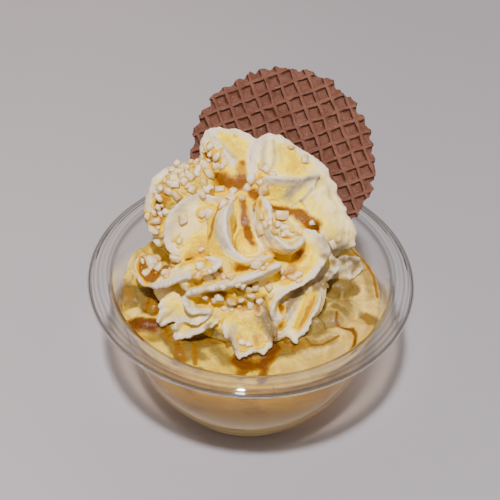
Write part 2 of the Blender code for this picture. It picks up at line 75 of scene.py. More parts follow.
def modify(piece, kind, **settings):
    select(piece)
    modifier = piece.modifiers.new(kind.lower(), kind)
    for key, value in settings.items():
        setattr(modifier, key, value)
    bpy.ops.object.modifier_apply(modifier=modifier.name)


def freeze(piece):
    select(piece)
    bpy.ops.object.transform_apply(location=True, rotation=True, scale=True)


def joinPieces(name, pieces):
    select(pieces[0])
    for piece in pieces:
        piece.select_set(True)
    bpy.ops.object.join()
    whole = bpy.context.object
    whole.name = whole.data.name = name
    return whole


def turnLine(name, line, steps):
    # a line of radius and height in mm, turned round the bowl's axis
    mesh = bpy.data.meshes.new(name)
    mesh.from_pydata([(r * mm, 0, z * mm) for r, z in line], [(i, i + 1) for i in range(len(line) - 1)], [])
    piece = addMesh(name, mesh)
    modify(piece, "SCREW", steps=steps, render_steps=steps, use_merge_vertices=True,
           merge_threshold=0.00001, use_smooth_shade=True)
    changeMesh(piece.data, mergeAndTurnOut)
    return piece


def changeMesh(mesh, change):
    shape = bmesh.new()
    shape.from_mesh(mesh)
    change(shape)
    shape.to_mesh(mesh)
    shape.free()


def mergeAndTurnOut(shape):
    bmesh.ops.remove_doubles(shape, verts=shape.verts, dist=0.000001)
    bmesh.ops.recalc_face_normals(shape, faces=shape.faces)


def finishPiece(piece, material, nodes=()):
    piece.data.materials.clear()
    piece.data.materials.append(material)
    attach(piece, "root")
    if nodes:
        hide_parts(*nodes)
    print("made", piece.name, sum(len(face.vertices) - 2 for face in piece.data.polygons), "triangles")
    return piece


def readArray(items, key, width, kind=float):
    values = np.empty(len(items) * width, dtype=kind)
    items.foreach_get(key, values)
    return values.reshape(-1, width)


def readPoints(mesh):
    return readArray(mesh.vertices, "co", 3) / mm


def readNormals(mesh):
    return readArray(mesh.vertices, "normal", 3)


def writePoints(mesh, points):
    mesh.vertices.foreach_set("co", (points * mm).ravel())
    mesh.update()


def readAttribute(mesh, name):
    return readArray(mesh.attributes[name].data, "value", 1, np.float32)[:, 0]


def writeAttributes(mesh, **amounts):
    for name, values in amounts.items():
        layer = mesh.attributes.get(name) or mesh.attributes.new(name, "FLOAT", "POINT")
        layer.data.foreach_set("value", np.asarray(values, np.float32))


def spreadOut(values, edges, rounds, share=0.6):
    # averages with the neighbours again and again, for points or for plain numbers
    spread = np.array(values, float)
    flat = spread.reshape(len(spread), -1)
    degree = np.maximum(np.bincount(edges.ravel(), minlength=len(flat)), 1)
    for _ in range(rounds):
        total = np.empty_like(flat)
        for axis in range(flat.shape[1]):
            column = flat[:, axis]
            total[:, axis] = np.bincount(edges[:, 0], column[edges[:, 1]], len(flat))
            total[:, axis] += np.bincount(edges[:, 1], column[edges[:, 0]], len(flat))
        flat = flat * (1 - share) + total / degree[:, None] * share
    return flat.reshape(spread.shape)


def ripple(points, size, seed=0.0, octaves=3):
    # smooth random relief between -1 and 1, with bumps about size mm across
    shift = Vector((seed * 17.3, seed * 5.1, seed * 9.7))
    return np.array([noise.fractal(Vector(point) / size + shift, 0.8, 2.1, octaves) for point in points])


def ripples(points, layers):
    # ripples on one another, each with its size in mm, seed, octaves and height
    return sum(ripple(points, size, seed, octaves) * height for size, seed, octaves, height in layers)


def warped(points, size, seeds, reach):
    # points shifted sideways at random, by reach mm or so
    flat = points * (1, 1, 0)
    return np.stack([ripple(flat, size, seed) for seed in seeds] + [flat[:, 2]], axis=1) * reach


def ease(values, low, high):
    share = np.clip((values - low) / (high - low), 0, 1)
    return share * share * (3 - 2 * share)


def shapeOf(mesh):
    return BVHTree.FromPolygons([vert.co for vert in mesh.vertices],
                                [tuple(face.vertices) for face in mesh.polygons])


def distanceToPath(points, path):
    # mm from every point to the nearest stretch of a path
    path = np.asarray(path, float)
    if len(path) == 1:
        return np.linalg.norm(points - path[0], axis=1)
    nearest = np.full(len(points), np.inf)
    for start, end in zip(path[:-1], path[1:]):
        along = end - start
        share = np.clip((points - start) @ along / max(along @ along, 1e-9), 0, 1)
        nearest = np.minimum(nearest, np.linalg.norm(points - start - share[:, None] * along, axis=1))
    return nearest


# Camera, and where a pixel of the photo falls

def cameraAxes():
    tilt = math.radians(viewer["elevation"])
    roll = math.radians(viewer["roll"])
    back = Vector((0, -math.cos(tilt), math.sin(tilt)))
    level = Vector((1, 0, 0))
    upright = back.cross(level)
    right = level * math.cos(roll) + upright * math.sin(roll)
    up = upright * math.cos(roll) - level * math.sin(roll)
    return right, up, back


def cameraPlace():
    return Vector(viewer["target"]) + cameraAxes()[2] * viewer["distance"]


def photoRay(u, v):
    right, up, back = cameraAxes()
    half = viewer["photoSide"] / 2
    pixels = viewer["lens"] / viewer["sensor"] * viewer["photoSide"]
    return (right * (u - half) / pixels + up * (half - v) / pixels - back).normalized()


def photoHit(shape, u, v):
    # the point, in mm, and the normal of what a pixel of the photo shows
    spot, normal, _, _ = shape.ray_cast(cameraPlace() * mm, photoRay(u, v))
    return (spot / mm, normal) if spot else (None, None)


def photoOnLevel(u, v, height):
    start = cameraPlace()
    ray = photoRay(u, v)
    return start + ray * ((height - start.z) / ray.z)


def addCamera():
    camera = bpy.data.cameras.new("camera")
    camera.lens = viewer["lens"]
    camera.sensor_width = viewer["sensor"]
    camera.clip_start = 0.01
    holder = bpy.data.objects.new("camera", camera)
    right, up, back = cameraAxes()
    place = Matrix((right, up, back)).transposed().to_4x4()
    place.translation = cameraPlace() * mm
    holder.matrix_world = place
    bpy.context.scene.collection.objects.link(holder)
    bpy.context.scene.camera = holder


# Marks that lie where the photo shows them: a path of pixels, its reach in mm, and how much

markEdges = {                       # how far past its reach a mark fades, how uneven, where it is full
    "wall": (1.0, 1.0, 0.9),
    "pool": (1.4, 0.6, 0.75),
    "cream": (1.5, 0.5, 1.0),
    "halo": (1.6, 0.5, 0.9),        # advocaat round every trail of sauce on the cream
    "core": (1.5, 0.7, 0.8),        # caramel in it
    "ripples": [(5.0, 4, 3, 0.3), (1.6, 6, 2, 0.12)],       # size in mm, seed, octaves, height
    "poolRipples": [(7.0, 3, 3, 0.35), (2.2, 5, 3, 0.15)],
}


def edgeAmount(away, reach, wobble, edge):
    # from 0 to 1 near a path, with an uneven edge
    fade, uneven, full = markEdges[edge]
    return ease(1 - away / (reach * fade) + wobble * uneven, 0, full)


def trailAmount(points, shape, path, reach, wobble, edge):
    hits = [photoHit(shape, u, v)[0] for u, v in path]
    hits = [hit for hit in hits if hit is not None]
    return edgeAmount(distanceToPath(points, hits), reach, wobble, edge) if hits else np.zeros(len(points))


def wallMarkAmount(points, shape, marks):
    wobble = ripples(points, markEdges["ripples"])
    return np.max([trailAmount(points, shape, path, reach, wobble, "wall") * depth
                   for path, reach, depth in marks], axis=0)


def poolMarkAmount(points, marks):
    # on the pool the pixels are taken to lie on its level
    amounts = []
    wobble = ripples(points, markEdges["poolRipples"])
    for path, reach, depth in marks:
        spots = [photoOnLevel(u, v, contents["pool"]) for u, v in path]
        away = distanceToPath(points[:, :2], np.array(spots)[:, :2])
        amounts.append(edgeAmount(away, reach, wobble, "pool") * depth)
    return np.max(amounts, axis=0)


# Materials

class Wire:
    # a node's socket, on which sums are written as Python
    def __init__(self, socket):
        self.socket = socket

    def math(self, operation, first, second):
        return makeNode(self.socket.id_data, "Math", {"operation": operation}, {0: first, 1: second})

    def __add__(self, other):
        return self.math("ADD", self, other)

    def __sub__(self, other):
        return self.math("SUBTRACT", self, other)

    def __rsub__(self, other):
        return self.math("SUBTRACT", other, self)

    def __mul__(self, other):
        return self.math("MULTIPLY", self, other)

    __radd__ = __add__
    __rmul__ = __mul__

    def larger(self, other):
        return self.math("MAXIMUM", self, other)


def plug(slot, value):
    if isinstance(value, Wire):
        slot.id_data.links.new(value.socket, slot)
    elif slot.type == "RGBA":
        slot.default_value = (*value, 1)
    else:
        slot.default_value = value


def makeNode(tree, kind, settings=None, inputs=None, output=0):
    node = tree.nodes.new("ShaderNode" + kind)
    for key, value in (settings or {}).items():
        setattr(node, key, value)
    for key, value in (inputs or {}).items():
        plug(node.inputs[key], value)
    return Wire(node.outputs[output])


def smoothStep(tree, value, fromRange, toRange=(0.0, 1.0)):
    return makeNode(tree, "MapRange", {"interpolation_type": "SMOOTHSTEP"}, {
        "Value": value, "From Min": fromRange[0], "From Max": fromRange[1],
        "To Min": toRange[0], "To Max": toRange[1]})


class Finish:
    def __init__(self, name, **looks):
        self.material = bpy.data.materials.new(name)
        self.material.use_nodes = True
        self.tree = self.material.node_tree
        self.shader = self.tree.nodes["Principled BSDF"]
        self.set(**looks)

    def set(self, **looks):
        for key, value in looks.items():
            plug(self.shader.inputs[key.replace("_", " ")], value)

    def node(self, kind, settings=None, inputs=None, output=0):
        return makeNode(self.tree, kind, settings, inputs, output)

    def coords(self):
        return self.node("TexCoord", output="Object")

    def noise(self, sizeMm, detail=3.0, roughness=0.55, distortion=0.0, vector=None):
        return self.node("TexNoise", {}, {
            "Vector": vector or self.coords(), "Scale": 1 / (sizeMm * mm), "Detail": detail,
            "Roughness": roughness, "Distortion": distortion}, "Fac")

    def attribute(self, name):
        return self.node("Attribute", {"attribute_name": name}, output="Fac")

    def step(self, value, low, high):
        return smoothStep(self.tree, value, (low, high))

    def mix(self, share, first, second):
        return self.node("Mix", {"data_type": "RGBA"}, {0: share, 6: first, 7: second}, 2)

    def mottled(self, amount, *patterns):
        # an amount broken up by noise, each with its share
        for pattern, share in patterns:
            amount = amount + (pattern - 0.5) * share
        return amount

    def layers(self, amount, color, stages):
        # colours that come in one over another as the amount goes from low to high
        for low, high, tone in stages:
            color = self.mix(self.step(amount, low, high), color, tone)
        return color

    def letLampsThrough(self, share, tint):
        # a share of the shadow rays passes through
        shadow = self.node("LightPath", output="Is Shadow Ray")
        clear = self.node("BsdfTransparent", {}, {"Color": tint})
        surface = self.node("MixShader", {}, {0: shadow * share, 1: Wire(self.shader.outputs[0]), 2: clear})
        plug(self.tree.nodes["Material Output"].inputs["Surface"], surface)

    def bump(self, height, depthMm):
        self.set(Normal=self.node("Bump", {}, {"Height": height, "Distance": depthMm * mm, "Strength": 1.0}))


# Bowl

bowl = {
    "line": [                       # radius and height in mm of the wall's outer side, lip to foot
        (60.1, 58.6), (60.7, 58.35), (61.2, 58.7), (61.1, 59.4), (60.3, 59.8), (59.6, 59.8),
        (59.1, 60.3), (58.4, 60.5), (57.9, 60.5), (57.3, 61.0), (56.3, 61.3), (55.2, 61.5),
        (54.3, 61.3), (53.7, 60.7), (53.3, 60.0), (52.9, 59.6), (52.5, 58.4), (51.9, 56.9), (51.2, 55.0),
        (50.5, 52.6), (50.0, 50.4), (49.6, 48.0), (49.2, 44.0), (48.8, 40.0), (48.4, 36.0),
        (47.8, 32.0), (46.9, 28.0), (45.8, 24.5), (44.2, 20.6), (42.2, 16.6), (39.9, 12.6),
        (37.4, 8.9), (35.4, 5.8), (33.8, 3.1), (32.7, 1.2), (31.9, 0.2), (31.0, 0.0),
        (30.1, 0.3), (29.4, 1.4), (28.4, 2.5), (26.6, 2.9), (14.0, 3.0), (0.0, 3.0)],
    "wall": 0.55,                   # mm thick
    "steps": 144,
    "clearness": 0.80,              # share of the lamps' light that each face lets through
    "edgeShade": 0.35,              # how much less of it where light grazes the face
    "lipShade": 0.95,               # how much less of it the rolled lip lets through
    "lip": (56.4, 59.3),            # radii between which the lip's shade comes in
    "lampTint": (1.0, 0.88, 0.73),
    "clear": (0.93, 0.92, 0.905),
    # painted shade and dark reflection for the lines round the lip
    "greyShade": (0.30, 0.285, 0.28),
    "haze": (6, 0.02),              # size in mm and roughness of the faint patches
    "waves": (9, 0.05),             # size and depth in mm of the plastic's waves
    "rings": [                      # radius, half width and depth of the grey lines painted round the lip, painted shade and dark reflection along its steps
        (60.9, 0.40, 1.0), (59.2, 0.28, 0.55), (57.6, 0.30, 0.6), (55.9, 0.35, 0.35), (54.3, 0.3, 0.6),
        (53.0, 0.45, 0.9)],
}


def makeBowl():
    piece = turnLine("clearBowl", bowl["line"], bowl["steps"])
    foot = [face for face in piece.data.polygons if face.center.z < 4 * mm]
    if sum(face.normal.z * face.area for face in foot) > 0:
        piece.data.flip_normals()       # the open shell came out with its inner side outwards
    modify(piece, "SOLIDIFY", thickness=bowl["wall"] * mm, offset=-1, use_even_offset=True)
    modify(piece, "SUBSURF", levels=1, render_levels=1)
    piece.data.shade_smooth()
    points = readPoints(piece.data)
    radii = np.hypot(points[:, 0], points[:, 1])
    # painted shade and dark reflection: grey lines at the lip's steps
    shades = [depth * np.exp(-((radii - radius) / half) ** 2) for radius, half, depth in bowl["rings"]]
    writeAttributes(piece.data, rolled=ease(radii, *bowl["lip"]), rings=np.max(shades, axis=0))
    look = Finish("clearPlastic", IOR=1.46, Transmission_Weight=1.0)
    hazeSize, hazeRoughness = bowl["haze"]
    waveSize, waveDepth = bowl["waves"]
    # the lines painted grey as shade and reflection
    look.set(Base_Color=look.mix(look.attribute("rings"), bowl["clear"], bowl["greyShade"]),
             Roughness=look.noise(hazeSize, 4) * hazeRoughness)
    look.bump(look.noise(waveSize, 2), waveDepth)
    facing = look.node("LayerWeight", {}, {"Blend": 0.5}, "Facing")
    shade = facing * facing * bowl["edgeShade"] + look.attribute("rolled") * bowl["lipShade"]
    look.letLampsThrough((bowl["clearness"] - shade).larger(0.0), bowl["lampTint"])
    return finishPiece(piece, look.material, ["bowl"])


# Ice cream and advocaat in the bowl

contents = {
    "pool": 48.5,                   # mm, the advocaat's level
    "floor": 43.5,                  # where the advocaat ends and the ice cream begins at the wall
    "base": 3.3,
    "reach": (0.20, 0.26),          # mm the ice cream and the pool go into the wall, so that no air shows
    "overlap": 0.4,                 # mm the pool goes down past the ice cream's edge
    "steps": 360,                   # round the axis, then from the middle to the wall, then down the wall
    "rings": 120,
    "sideRings": 24,
    "sideBlend": 8.0,               # mm below the edge over which the wall's points follow the top
    "coat": 0.7,                    # mm of advocaat over the lumps
    "melt": (2.4, 0.6),             # mm over which a lump runs into the advocaat, and mm it rises there
    "rounding": (0.6, 1.0),         # how steep the lumps' and the bumps' sides are, less is steeper
    "spread": 1.25,                 # how much wider a bump is than the photo's pixels say
    "warp": (9.0, (31, 32), 2.8),   # size, seeds and reach of the lumps' uneven outlines
    "waves": (14.0, 8, 3, 0.5),     # size, seed, octaves and height of the advocaat's ripples
    "smallWaves": (4.5, 9),
    "smallHeights": (0.2, 0.6),     # their height in mm everywhere, and how much more on the lumpy right
    "chunkyFrom": (16.0, 34.0),     # mm to the right of the middle, where the lumpy part begins and is full
    "lumps": [                      # middle x, y, radii, top, turn
        (44, 4, 12, 24, 49.6, 0), (34, -9, 9, 8, 51.0, 20), (28, -27, 12, 6.5, 50.6, 35),
        (-45, 14, 5, 13, 50.6, 10), (-37, -19, 8, 6, 50.4, -30), (2, 43, 24, 7, 50.6, 0),
        (-2, 3, 41, 37, 50.0, 0), (19, -16, 10, 11, 53.5, 0), (1, -28, 11, 8, 51.8, 0),
        (-26, -20, 9, 8, 52.0, 0), (33, 6, 9, 8, 52.6, 0)],
    "bumps": [                      # photo pixel, half widths in mm, height, turn
        ((341, 305), (4.0, 2.6), 2.0, 0), ((362, 290), (3.6, 4.6), 1.5, 10),
        ((367, 305), (3.0, 3.4), 1.3, 0), ((361, 323), (3.6, 3.2), 1.5, 30),
        ((318, 343), (6.4, 3.8), 2.2, 20), ((335, 331), (4.6, 3.2), 1.6, 35),
        ((348, 343), (3.6, 2.6), 1.0, 40), ((331, 316), (4.2, 3.2), 1.8, 0),
        ((133, 311), (3.4, 3.0), 1.5, 0), ((130, 271), (2.2, 4.4), 2.2, 0),
        ((134, 292), (3.2, 3.6), 1.2, 0), ((166, 345), (5.0, 5.0), 1.3, 20),
        ((208, 352), (5.0, 6.0), 1.1, 0), ((186, 350), (2.2, 6.0), 0.9, 0),
        ((250, 376), (3.2, 2.6), 1.1, 0), ((150, 300), (2.6, 4.2), 1.4, 20),
        ((163, 312), (2.8, 3.4), 1.2, -20), ((290, 362), (9.0, 4.0), 0.8, 0)],
}


def innerWall(height):
    # radius of the bowl's inner side at a height, from above the foot to under the lip
    line = [(r, z) for r, z in bowl["line"] if r > 31.5 and z < 60][::-1]
    return np.interp(height, [z for r, z in line], [r for r, z in line]) - bowl["wall"]


def swelling(points, middle, radii, turn, power):
    c, s = math.cos(math.radians(turn)), math.sin(math.radians(turn))
    across = ((points[:, 0] - middle[0]) * c + (points[:, 1] - middle[1]) * s) / radii[0]
    along = ((points[:, 1] - middle[1]) * c - (points[:, 0] - middle[0]) * s) / radii[1]
    return np.clip(1 - (across ** 2 + along ** 2) ** 1.5, 0, 1) ** power


def iceHeight(points):
    top = np.full(len(points), contents["floor"])
    for mx, my, rx, ry, peak, turn in contents["lumps"]:
        swell = swelling(points, (mx, my), (rx, ry), turn, contents["rounding"][0])
        top = np.maximum(top, contents["floor"] + (peak - contents["floor"]) * swell)
    return top


def chunkyShare(points):
    # the advocaat is full of lumps on the right
    return ease(points[:, 0] - points[:, 1] * 0.3, *contents["chunkyFrom"])


def poolHeight(points):
    # the advocaat's own level, drawn over the lumps and bumps in one skin
    flat = points * (1, 1, 0)
    uneven = flat + warped(points, *contents["warp"])
    low, more = contents["smallHeights"]
    top = contents["pool"] + ripples(flat, [contents["waves"]])
    top += ripple(flat, *contents["smallWaves"]) * (low + more * chunkyShare(points))
    for (u, v), radii, rise, turn in contents["bumps"]:
        middle = photoOnLevel(u, v, contents["pool"] + rise)
        wide = [radius * contents["spread"] for radius in radii]
        top = top + rise * swelling(uneven, middle, wide, turn, contents["rounding"][1])
    lump = iceHeight(uneven) + contents["coat"]
    melt, swell = contents["melt"]
    blend = 0.5 + np.clip((lump - top) / melt, -0.5, 0.5)
    return top * (1 - blend) + lump * blend + swell * blend * (1 - blend)


def turnedFill(name, low, level, topOf, reach):
    # a solid that fills the bowl between two levels, its top given by a function
    side = [(float(innerWall(z)) + reach, z) for z in np.linspace(level, low, contents["sideRings"])]
    top = [(side[0][0] * i / contents["rings"], level) for i in range(contents["rings"])]
    piece = turnLine(name, top + side + [(0, low)], contents["steps"])
    points = readPoints(piece.data)
    radius = np.hypot(points[:, 0], points[:, 1])
    upper = np.abs(points[:, 2] - level) < 0.01
    lift = topOf(points) - level
    points[upper, 2] += lift[upper]
    below = (level - points[:, 2]) / contents["sideBlend"]
    wall = (radius > innerWall(points[:, 2]) - 0.3) & (below < 1) & ~upper
    points[wall, 2] += (lift * np.clip(1 - below, 0, 1))[wall]
    edge = (upper | wall) & (radius > side[0][0] - 0.05)
    points[edge, :2] *= ((innerWall(points[:, 2]) + reach) / np.maximum(radius, 1e-6))[edge, None]
    writePoints(piece.data, points)
    piece.data.shade_smooth()
    return piece


iceLook = {
    "pale": (0.61, 0.37, 0.042),
    "tan": (0.46, 0.26, 0.02),
    "brown": (0.26, 0.115, 0.018),
    "low": (0.98, 0.78, 0.34),      # painted light: paler towards the base, standing in for light from the floor below
    "lowLevels": (34.0, 10.0),
    "squash": (0.6, 0.6, 1.5),      # the patches lie flat
    "cloud": (17, 4, 0.55, 0.8),    # size in mm, detail, roughness and distortion of the noise
    "streak": (6, 5, 0.6, 1.4),
    "grain": (1.6, 4),
    "lampShare": 0.68,              # share of the lamps' light that each face lets through
    "lampTint": (1.0, 0.87, 0.70),
    "marks": [                      # browner patches behind the wall
        ([(243, 406), (256, 412)], 7.0, 0.45), ([(208, 424), (226, 428), (243, 429)], 1.6, 0.9),
        ([(176, 380), (190, 390)], 4.0, 0.5), ([(300, 398), (318, 392)], 5.0, 0.35),
        ([(150, 372), (160, 384)], 3.0, 0.5)],
}


def makeIceCream():
    def top(points):
        return np.minimum(iceHeight(points), poolHeight(points) - contents["coat"])

    piece = turnedFill("iceCreamFill", contents["base"], contents["floor"], top, contents["reach"][0])
    points = readPoints(piece.data)
    # depth drives painted light, paler towards the base
    writeAttributes(piece.data, marks=wallMarkAmount(points, shapeOf(piece.data), iceLook["marks"]),
                    depth=ease(points[:, 2], *iceLook["lowLevels"]))
    look = Finish("iceCream", Roughness=0.4, Subsurface_Weight=0.1, Subsurface_Scale=0.002,
                  Subsurface_Radius=(1.0, 0.7, 0.35), Specular_IOR_Level=0.2)
    flow = look.node("Mapping", {}, {"Vector": look.coords(), "Scale": iceLook["squash"]})
    cloud = look.noise(*iceLook["cloud"], flow)
    streak = look.noise(*iceLook["streak"], flow)
    color = look.mix(look.step(cloud, 0.4, 0.66), iceLook["pale"], iceLook["tan"])
    # painted light: paler towards the base
    color = look.mix(look.attribute("depth") * 0.95, color, iceLook["low"])
    color = look.mix(look.step(streak, 0.62, 0.78) * 0.4, color, iceLook["brown"])
    color = look.mix(look.attribute("marks") * look.step(streak, 0.3, 0.6), color, iceLook["brown"])
    look.set(Base_Color=color)
    look.bump(look.noise(*iceLook["grain"]) + cloud, 0.25)
    look.letLampsThrough(iceLook["lampShare"], iceLook["lampTint"])
    return finishPiece(piece, look.material, ["ice_cream"])


poolLook = {
    "pale": (0.68, 0.48, 0.14),
    "depths": [                     # how deep from and to, and the colour that comes in
        (-0.1, 0.35, (0.60, 0.39, 0.04)), (0.3, 0.95, (0.43, 0.25, 0.008))],
    "tan": (0.40, 0.26, 0.09),      # lumps on the right
    "dusk": (0.15, 0.09, 0.018),    # painted shade beside and under the cream
    "caramels": [(0.15, 0.6, (0.205, 0.088, 0.003)), (0.6, 1.05, (0.105, 0.03, 0.002))],
    "cloud": (10, 4, 0.55, 1.5),    # size in mm, detail, roughness and distortion of the noise
    "fine": (2.5, 4, 0.6, 0.8),
    "lowLevels": (1.6, -0.4),       # mm over the pool's level where it begins and ends to look deep
    "skin": (-1.6, -0.4),           # mm over which the marks fade down the pool's side
    "creases": ((11.0, 41), (20.0, 42), 0.6),   # sauce in thin lines, in patches, and how much
    "caramelMarks": [
        ([(237, 361), (244, 366), (262, 366), (274, 350)], 3.0, 1.0), ([(244, 360), (262, 360)], 4.0, 0.5),
        ([(241, 374), (250, 362)], 2.5, 0.8), ([(262, 378), (266, 362)], 2.0, 0.9),
        ([(177, 340), (177, 361)], 1.6, 0.8), ([(195, 346), (195, 364)], 1.3, 0.7),
        ([(186, 338), (205, 340), (222, 338)], 4.0, 0.45),
        ([(130, 325), (141, 327), (154, 328)], 3.0, 1.1), ([(127, 292), (131, 300)], 2.0, 0.45),
        ([(152, 290), (149, 302), (146, 314)], 1.3, 0.85), ([(155, 290), (152, 308)], 1.4, 0.6),
        ([(170, 318), (164, 330), (172, 342)], 2.2, 0.55),
        ([(336, 317), (336, 325), (344, 330), (352, 330), (356, 336), (354, 346), (350, 352)], 0.7, 1.0),
        ([(306, 343), (311, 350), (322, 350), (331, 345), (338, 340)], 0.6, 0.8),
        ([(351, 249), (364, 263), (373, 280), (377, 300)], 0.7, 0.75),
        ([(366, 316), (368, 324)], 1.2, 0.6), ([(168, 287), (160, 300), (155, 316)], 1.6, 0.8),
        ([(181, 350), (183, 360)], 1.6, 0.8), ([(286, 345), (296, 350), (304, 349)], 2.5, 0.45),
        ([(139, 258), (131, 272)], 2.0, 0.35)],
    "duskMarks": [                  # painted shade beside and under the cream
        ([(322, 291), (335, 294), (351, 292)], 3.8, 1.1), ([(320, 304), (314, 320), (304, 333)], 3.4, 1.1),
        ([(332, 303), (343, 306), (348, 315)], 3.4, 0.6), ([(334, 312), (346, 317)], 2.4, 0.9),
        ([(318, 332), (332, 320)], 5.0, 0.7), ([(362, 318), (373, 321)], 2.4, 0.9),
        ([(305, 345), (318, 350), (332, 344)], 2.4, 0.6), ([(126, 292), (136, 298), (148, 294)], 5.5, 1.1),
        ([(143, 298), (148, 314)], 3.4, 0.9), ([(162, 330), (170, 340), (177, 352)], 3.4, 1.0),
        ([(182, 345), (195, 346), (208, 343)], 4.6, 1.0), ([(184, 356), (202, 358)], 3.0, 0.7),
        ([(270, 346), (280, 352), (292, 350)], 4.6, 0.9), ([(214, 350), (226, 362)], 3.4, 0.7),
        ([(150, 334), (158, 340)], 3.0, 0.5), ([(360, 262), (368, 280), (370, 300)], 2.6, 0.5)],
}


def poolCreases(points):
    line, patch, depth = poolLook["creases"]
    flat = points * (1, 1, 0)
    return ease(np.abs(ripple(flat, *line)), 0.10, 0.0) * ease(ripple(flat, *patch), 0.0, 0.35) * depth


def makePool():
    piece = turnedFill("advocaatPool", contents["floor"] - contents["overlap"], contents["pool"], poolHeight,
                       contents["reach"][1])
    points = readPoints(piece.data)
    top = poolHeight(points)
    skin = ease(points[:, 2] - top, *poolLook["skin"])
    sauce = poolMarkAmount(points, poolLook["caramelMarks"])
    dusk = poolMarkAmount(points, poolLook["duskMarks"])
    writeAttributes(piece.data, caramel=np.maximum(sauce, poolCreases(points)) * skin,
                    low=ease(top - contents["pool"], *poolLook["lowLevels"]),
                    chunky=chunkyShare(points), dusk=dusk * skin)
    look = Finish("advocaatPool", Subsurface_Weight=0.1, Subsurface_Scale=0.002,
                  Subsurface_Radius=(1.0, 0.7, 0.3), Specular_IOR_Level=0.16)
    cloud = look.noise(*poolLook["cloud"])
    fine = look.noise(*poolLook["fine"])
    deep = look.mottled(look.attribute("low") * 0.6 + look.step(cloud, 0.35, 0.7) * 0.5, (fine, 0.4))
    color = look.layers(deep, poolLook["pale"], poolLook["depths"])
    murky = look.attribute("chunky") * (look.step(cloud, 0.3, 0.6) * 0.6 + look.step(fine, 0.4, 0.6) * 0.4)
    color = look.mix(murky * 0.75, color, poolLook["tan"])
    # painted shade beside and under the cream
    shaded = look.mottled(look.attribute("dusk"), (fine, 0.5), (cloud, 0.3))
    color = look.mix(look.step(shaded, 0.0, 0.9), color, poolLook["dusk"])
    color = look.layers(look.mottled(look.attribute("caramel"), (fine, 0.3), (cloud, 0.2)), color,
                        poolLook["caramels"])
    look.set(Base_Color=color, Roughness=0.07 + look.step(cloud, 0.4, 0.75) * 0.2)
    look.bump(cloud * 0.35 + fine * 0.35 + look.noise(1.1, 3) * 0.4, 1.0)
    look.letLampsThrough(iceLook["lampShare"], iceLook["lampTint"])
    return finishPiece(piece, look.material, ["advocaat"])


# Whipped cream

cream = {
    "voxel": 0.565,       # mm, which keeps the piece just under 200,000 triangles
    "smoothing": 2,
    "stations": 48,                 # along each fold
    "foldEnd": 0.06,                # share of a fold's length over which its ends round off
    "taper": 1.3,                   # 1 is a straight wedge, more is a thinner blade
    "tears": (4.0, 51, 3),          # size, seed and octaves of the crests' ups and downs
    "ragged": 0.5,                  # mm a crest rises and falls, where a fold doesn't say
    "relief": [(7.0, 11, 3, 0.42), (2.0, 12, 2, 0.20)],    # size in mm, seed, octaves, height
    "torn": (1.5, 13, 2, 0.35),     # the same for the ragged edge along the lips
    "streaks": 0.22,                # mm of fine lines along the folds
    "below": 46.5,                  # mm, the level in the pool where the cream ends
    "body": [                       # rounded masses under the folds: middle, radii
        ((-1, -1, 53), (30, 28, 14)), ((-3, 4, 61.5), (25.5, 23, 12.5)), ((-3, 18, 71), (22, 17, 12.5)),
        ((0, 28, 79), (18, 10, 11)), ((19, 22, 73), (12, 11, 13)), ((-25, 17, 65), (12, 12, 15)),
        ((-26, 19, 81), (11, 8, 9)), ((-29, -2, 53), (8, 10, 6)), ((20, 4, 57), (9, 15, 11)),
        ((-3, 30, 56), (26, 9, 12)), ((-14, 3, 72), (8.5, 9, 9)), ((-1, -2, 74), (6, 9, 6.5)),
        ((-7, -14, 66.5), (16, 8.5, 7)), ((-18, -13.5, 68.5), (9, 7, 6)), ((17, 12, 75), (8, 7, 6.5)),
        ((13, -4, 65.5), (8, 8.5, 6.5))],
    "rim": 1.0,                     # mm from a crest that stay pale, where a fold doesn't say
    "backRidges": (50, 70, 90, 110, 130, 150),      # degrees round the axis
    "ridgeTurn": 14,                # degrees a back ridge winds round on its way up
    "rounds": (24, 180),            # rounds of averaging that find creases and hollows, on a 0.5 mm mesh
    "valley": (-0.4, 1.3),          # mm of hollow between which a valley turns yellow
    "pooledAndShaded": (1.3, 3.2),           # and caramel gathers, also painted shade in the deep hollows
    "valleyAmounts": (0.10, 0.66, 0.62),    # yellow everywhere, yellow and caramel in the valleys, the caramel also painted shade
    "trailAmounts": (1.9, 1.7),     # yellow and caramel along the trails
    "sauceDepth": 0.7,              # share of a crease that sauce fills, and of the relief that it hides
}

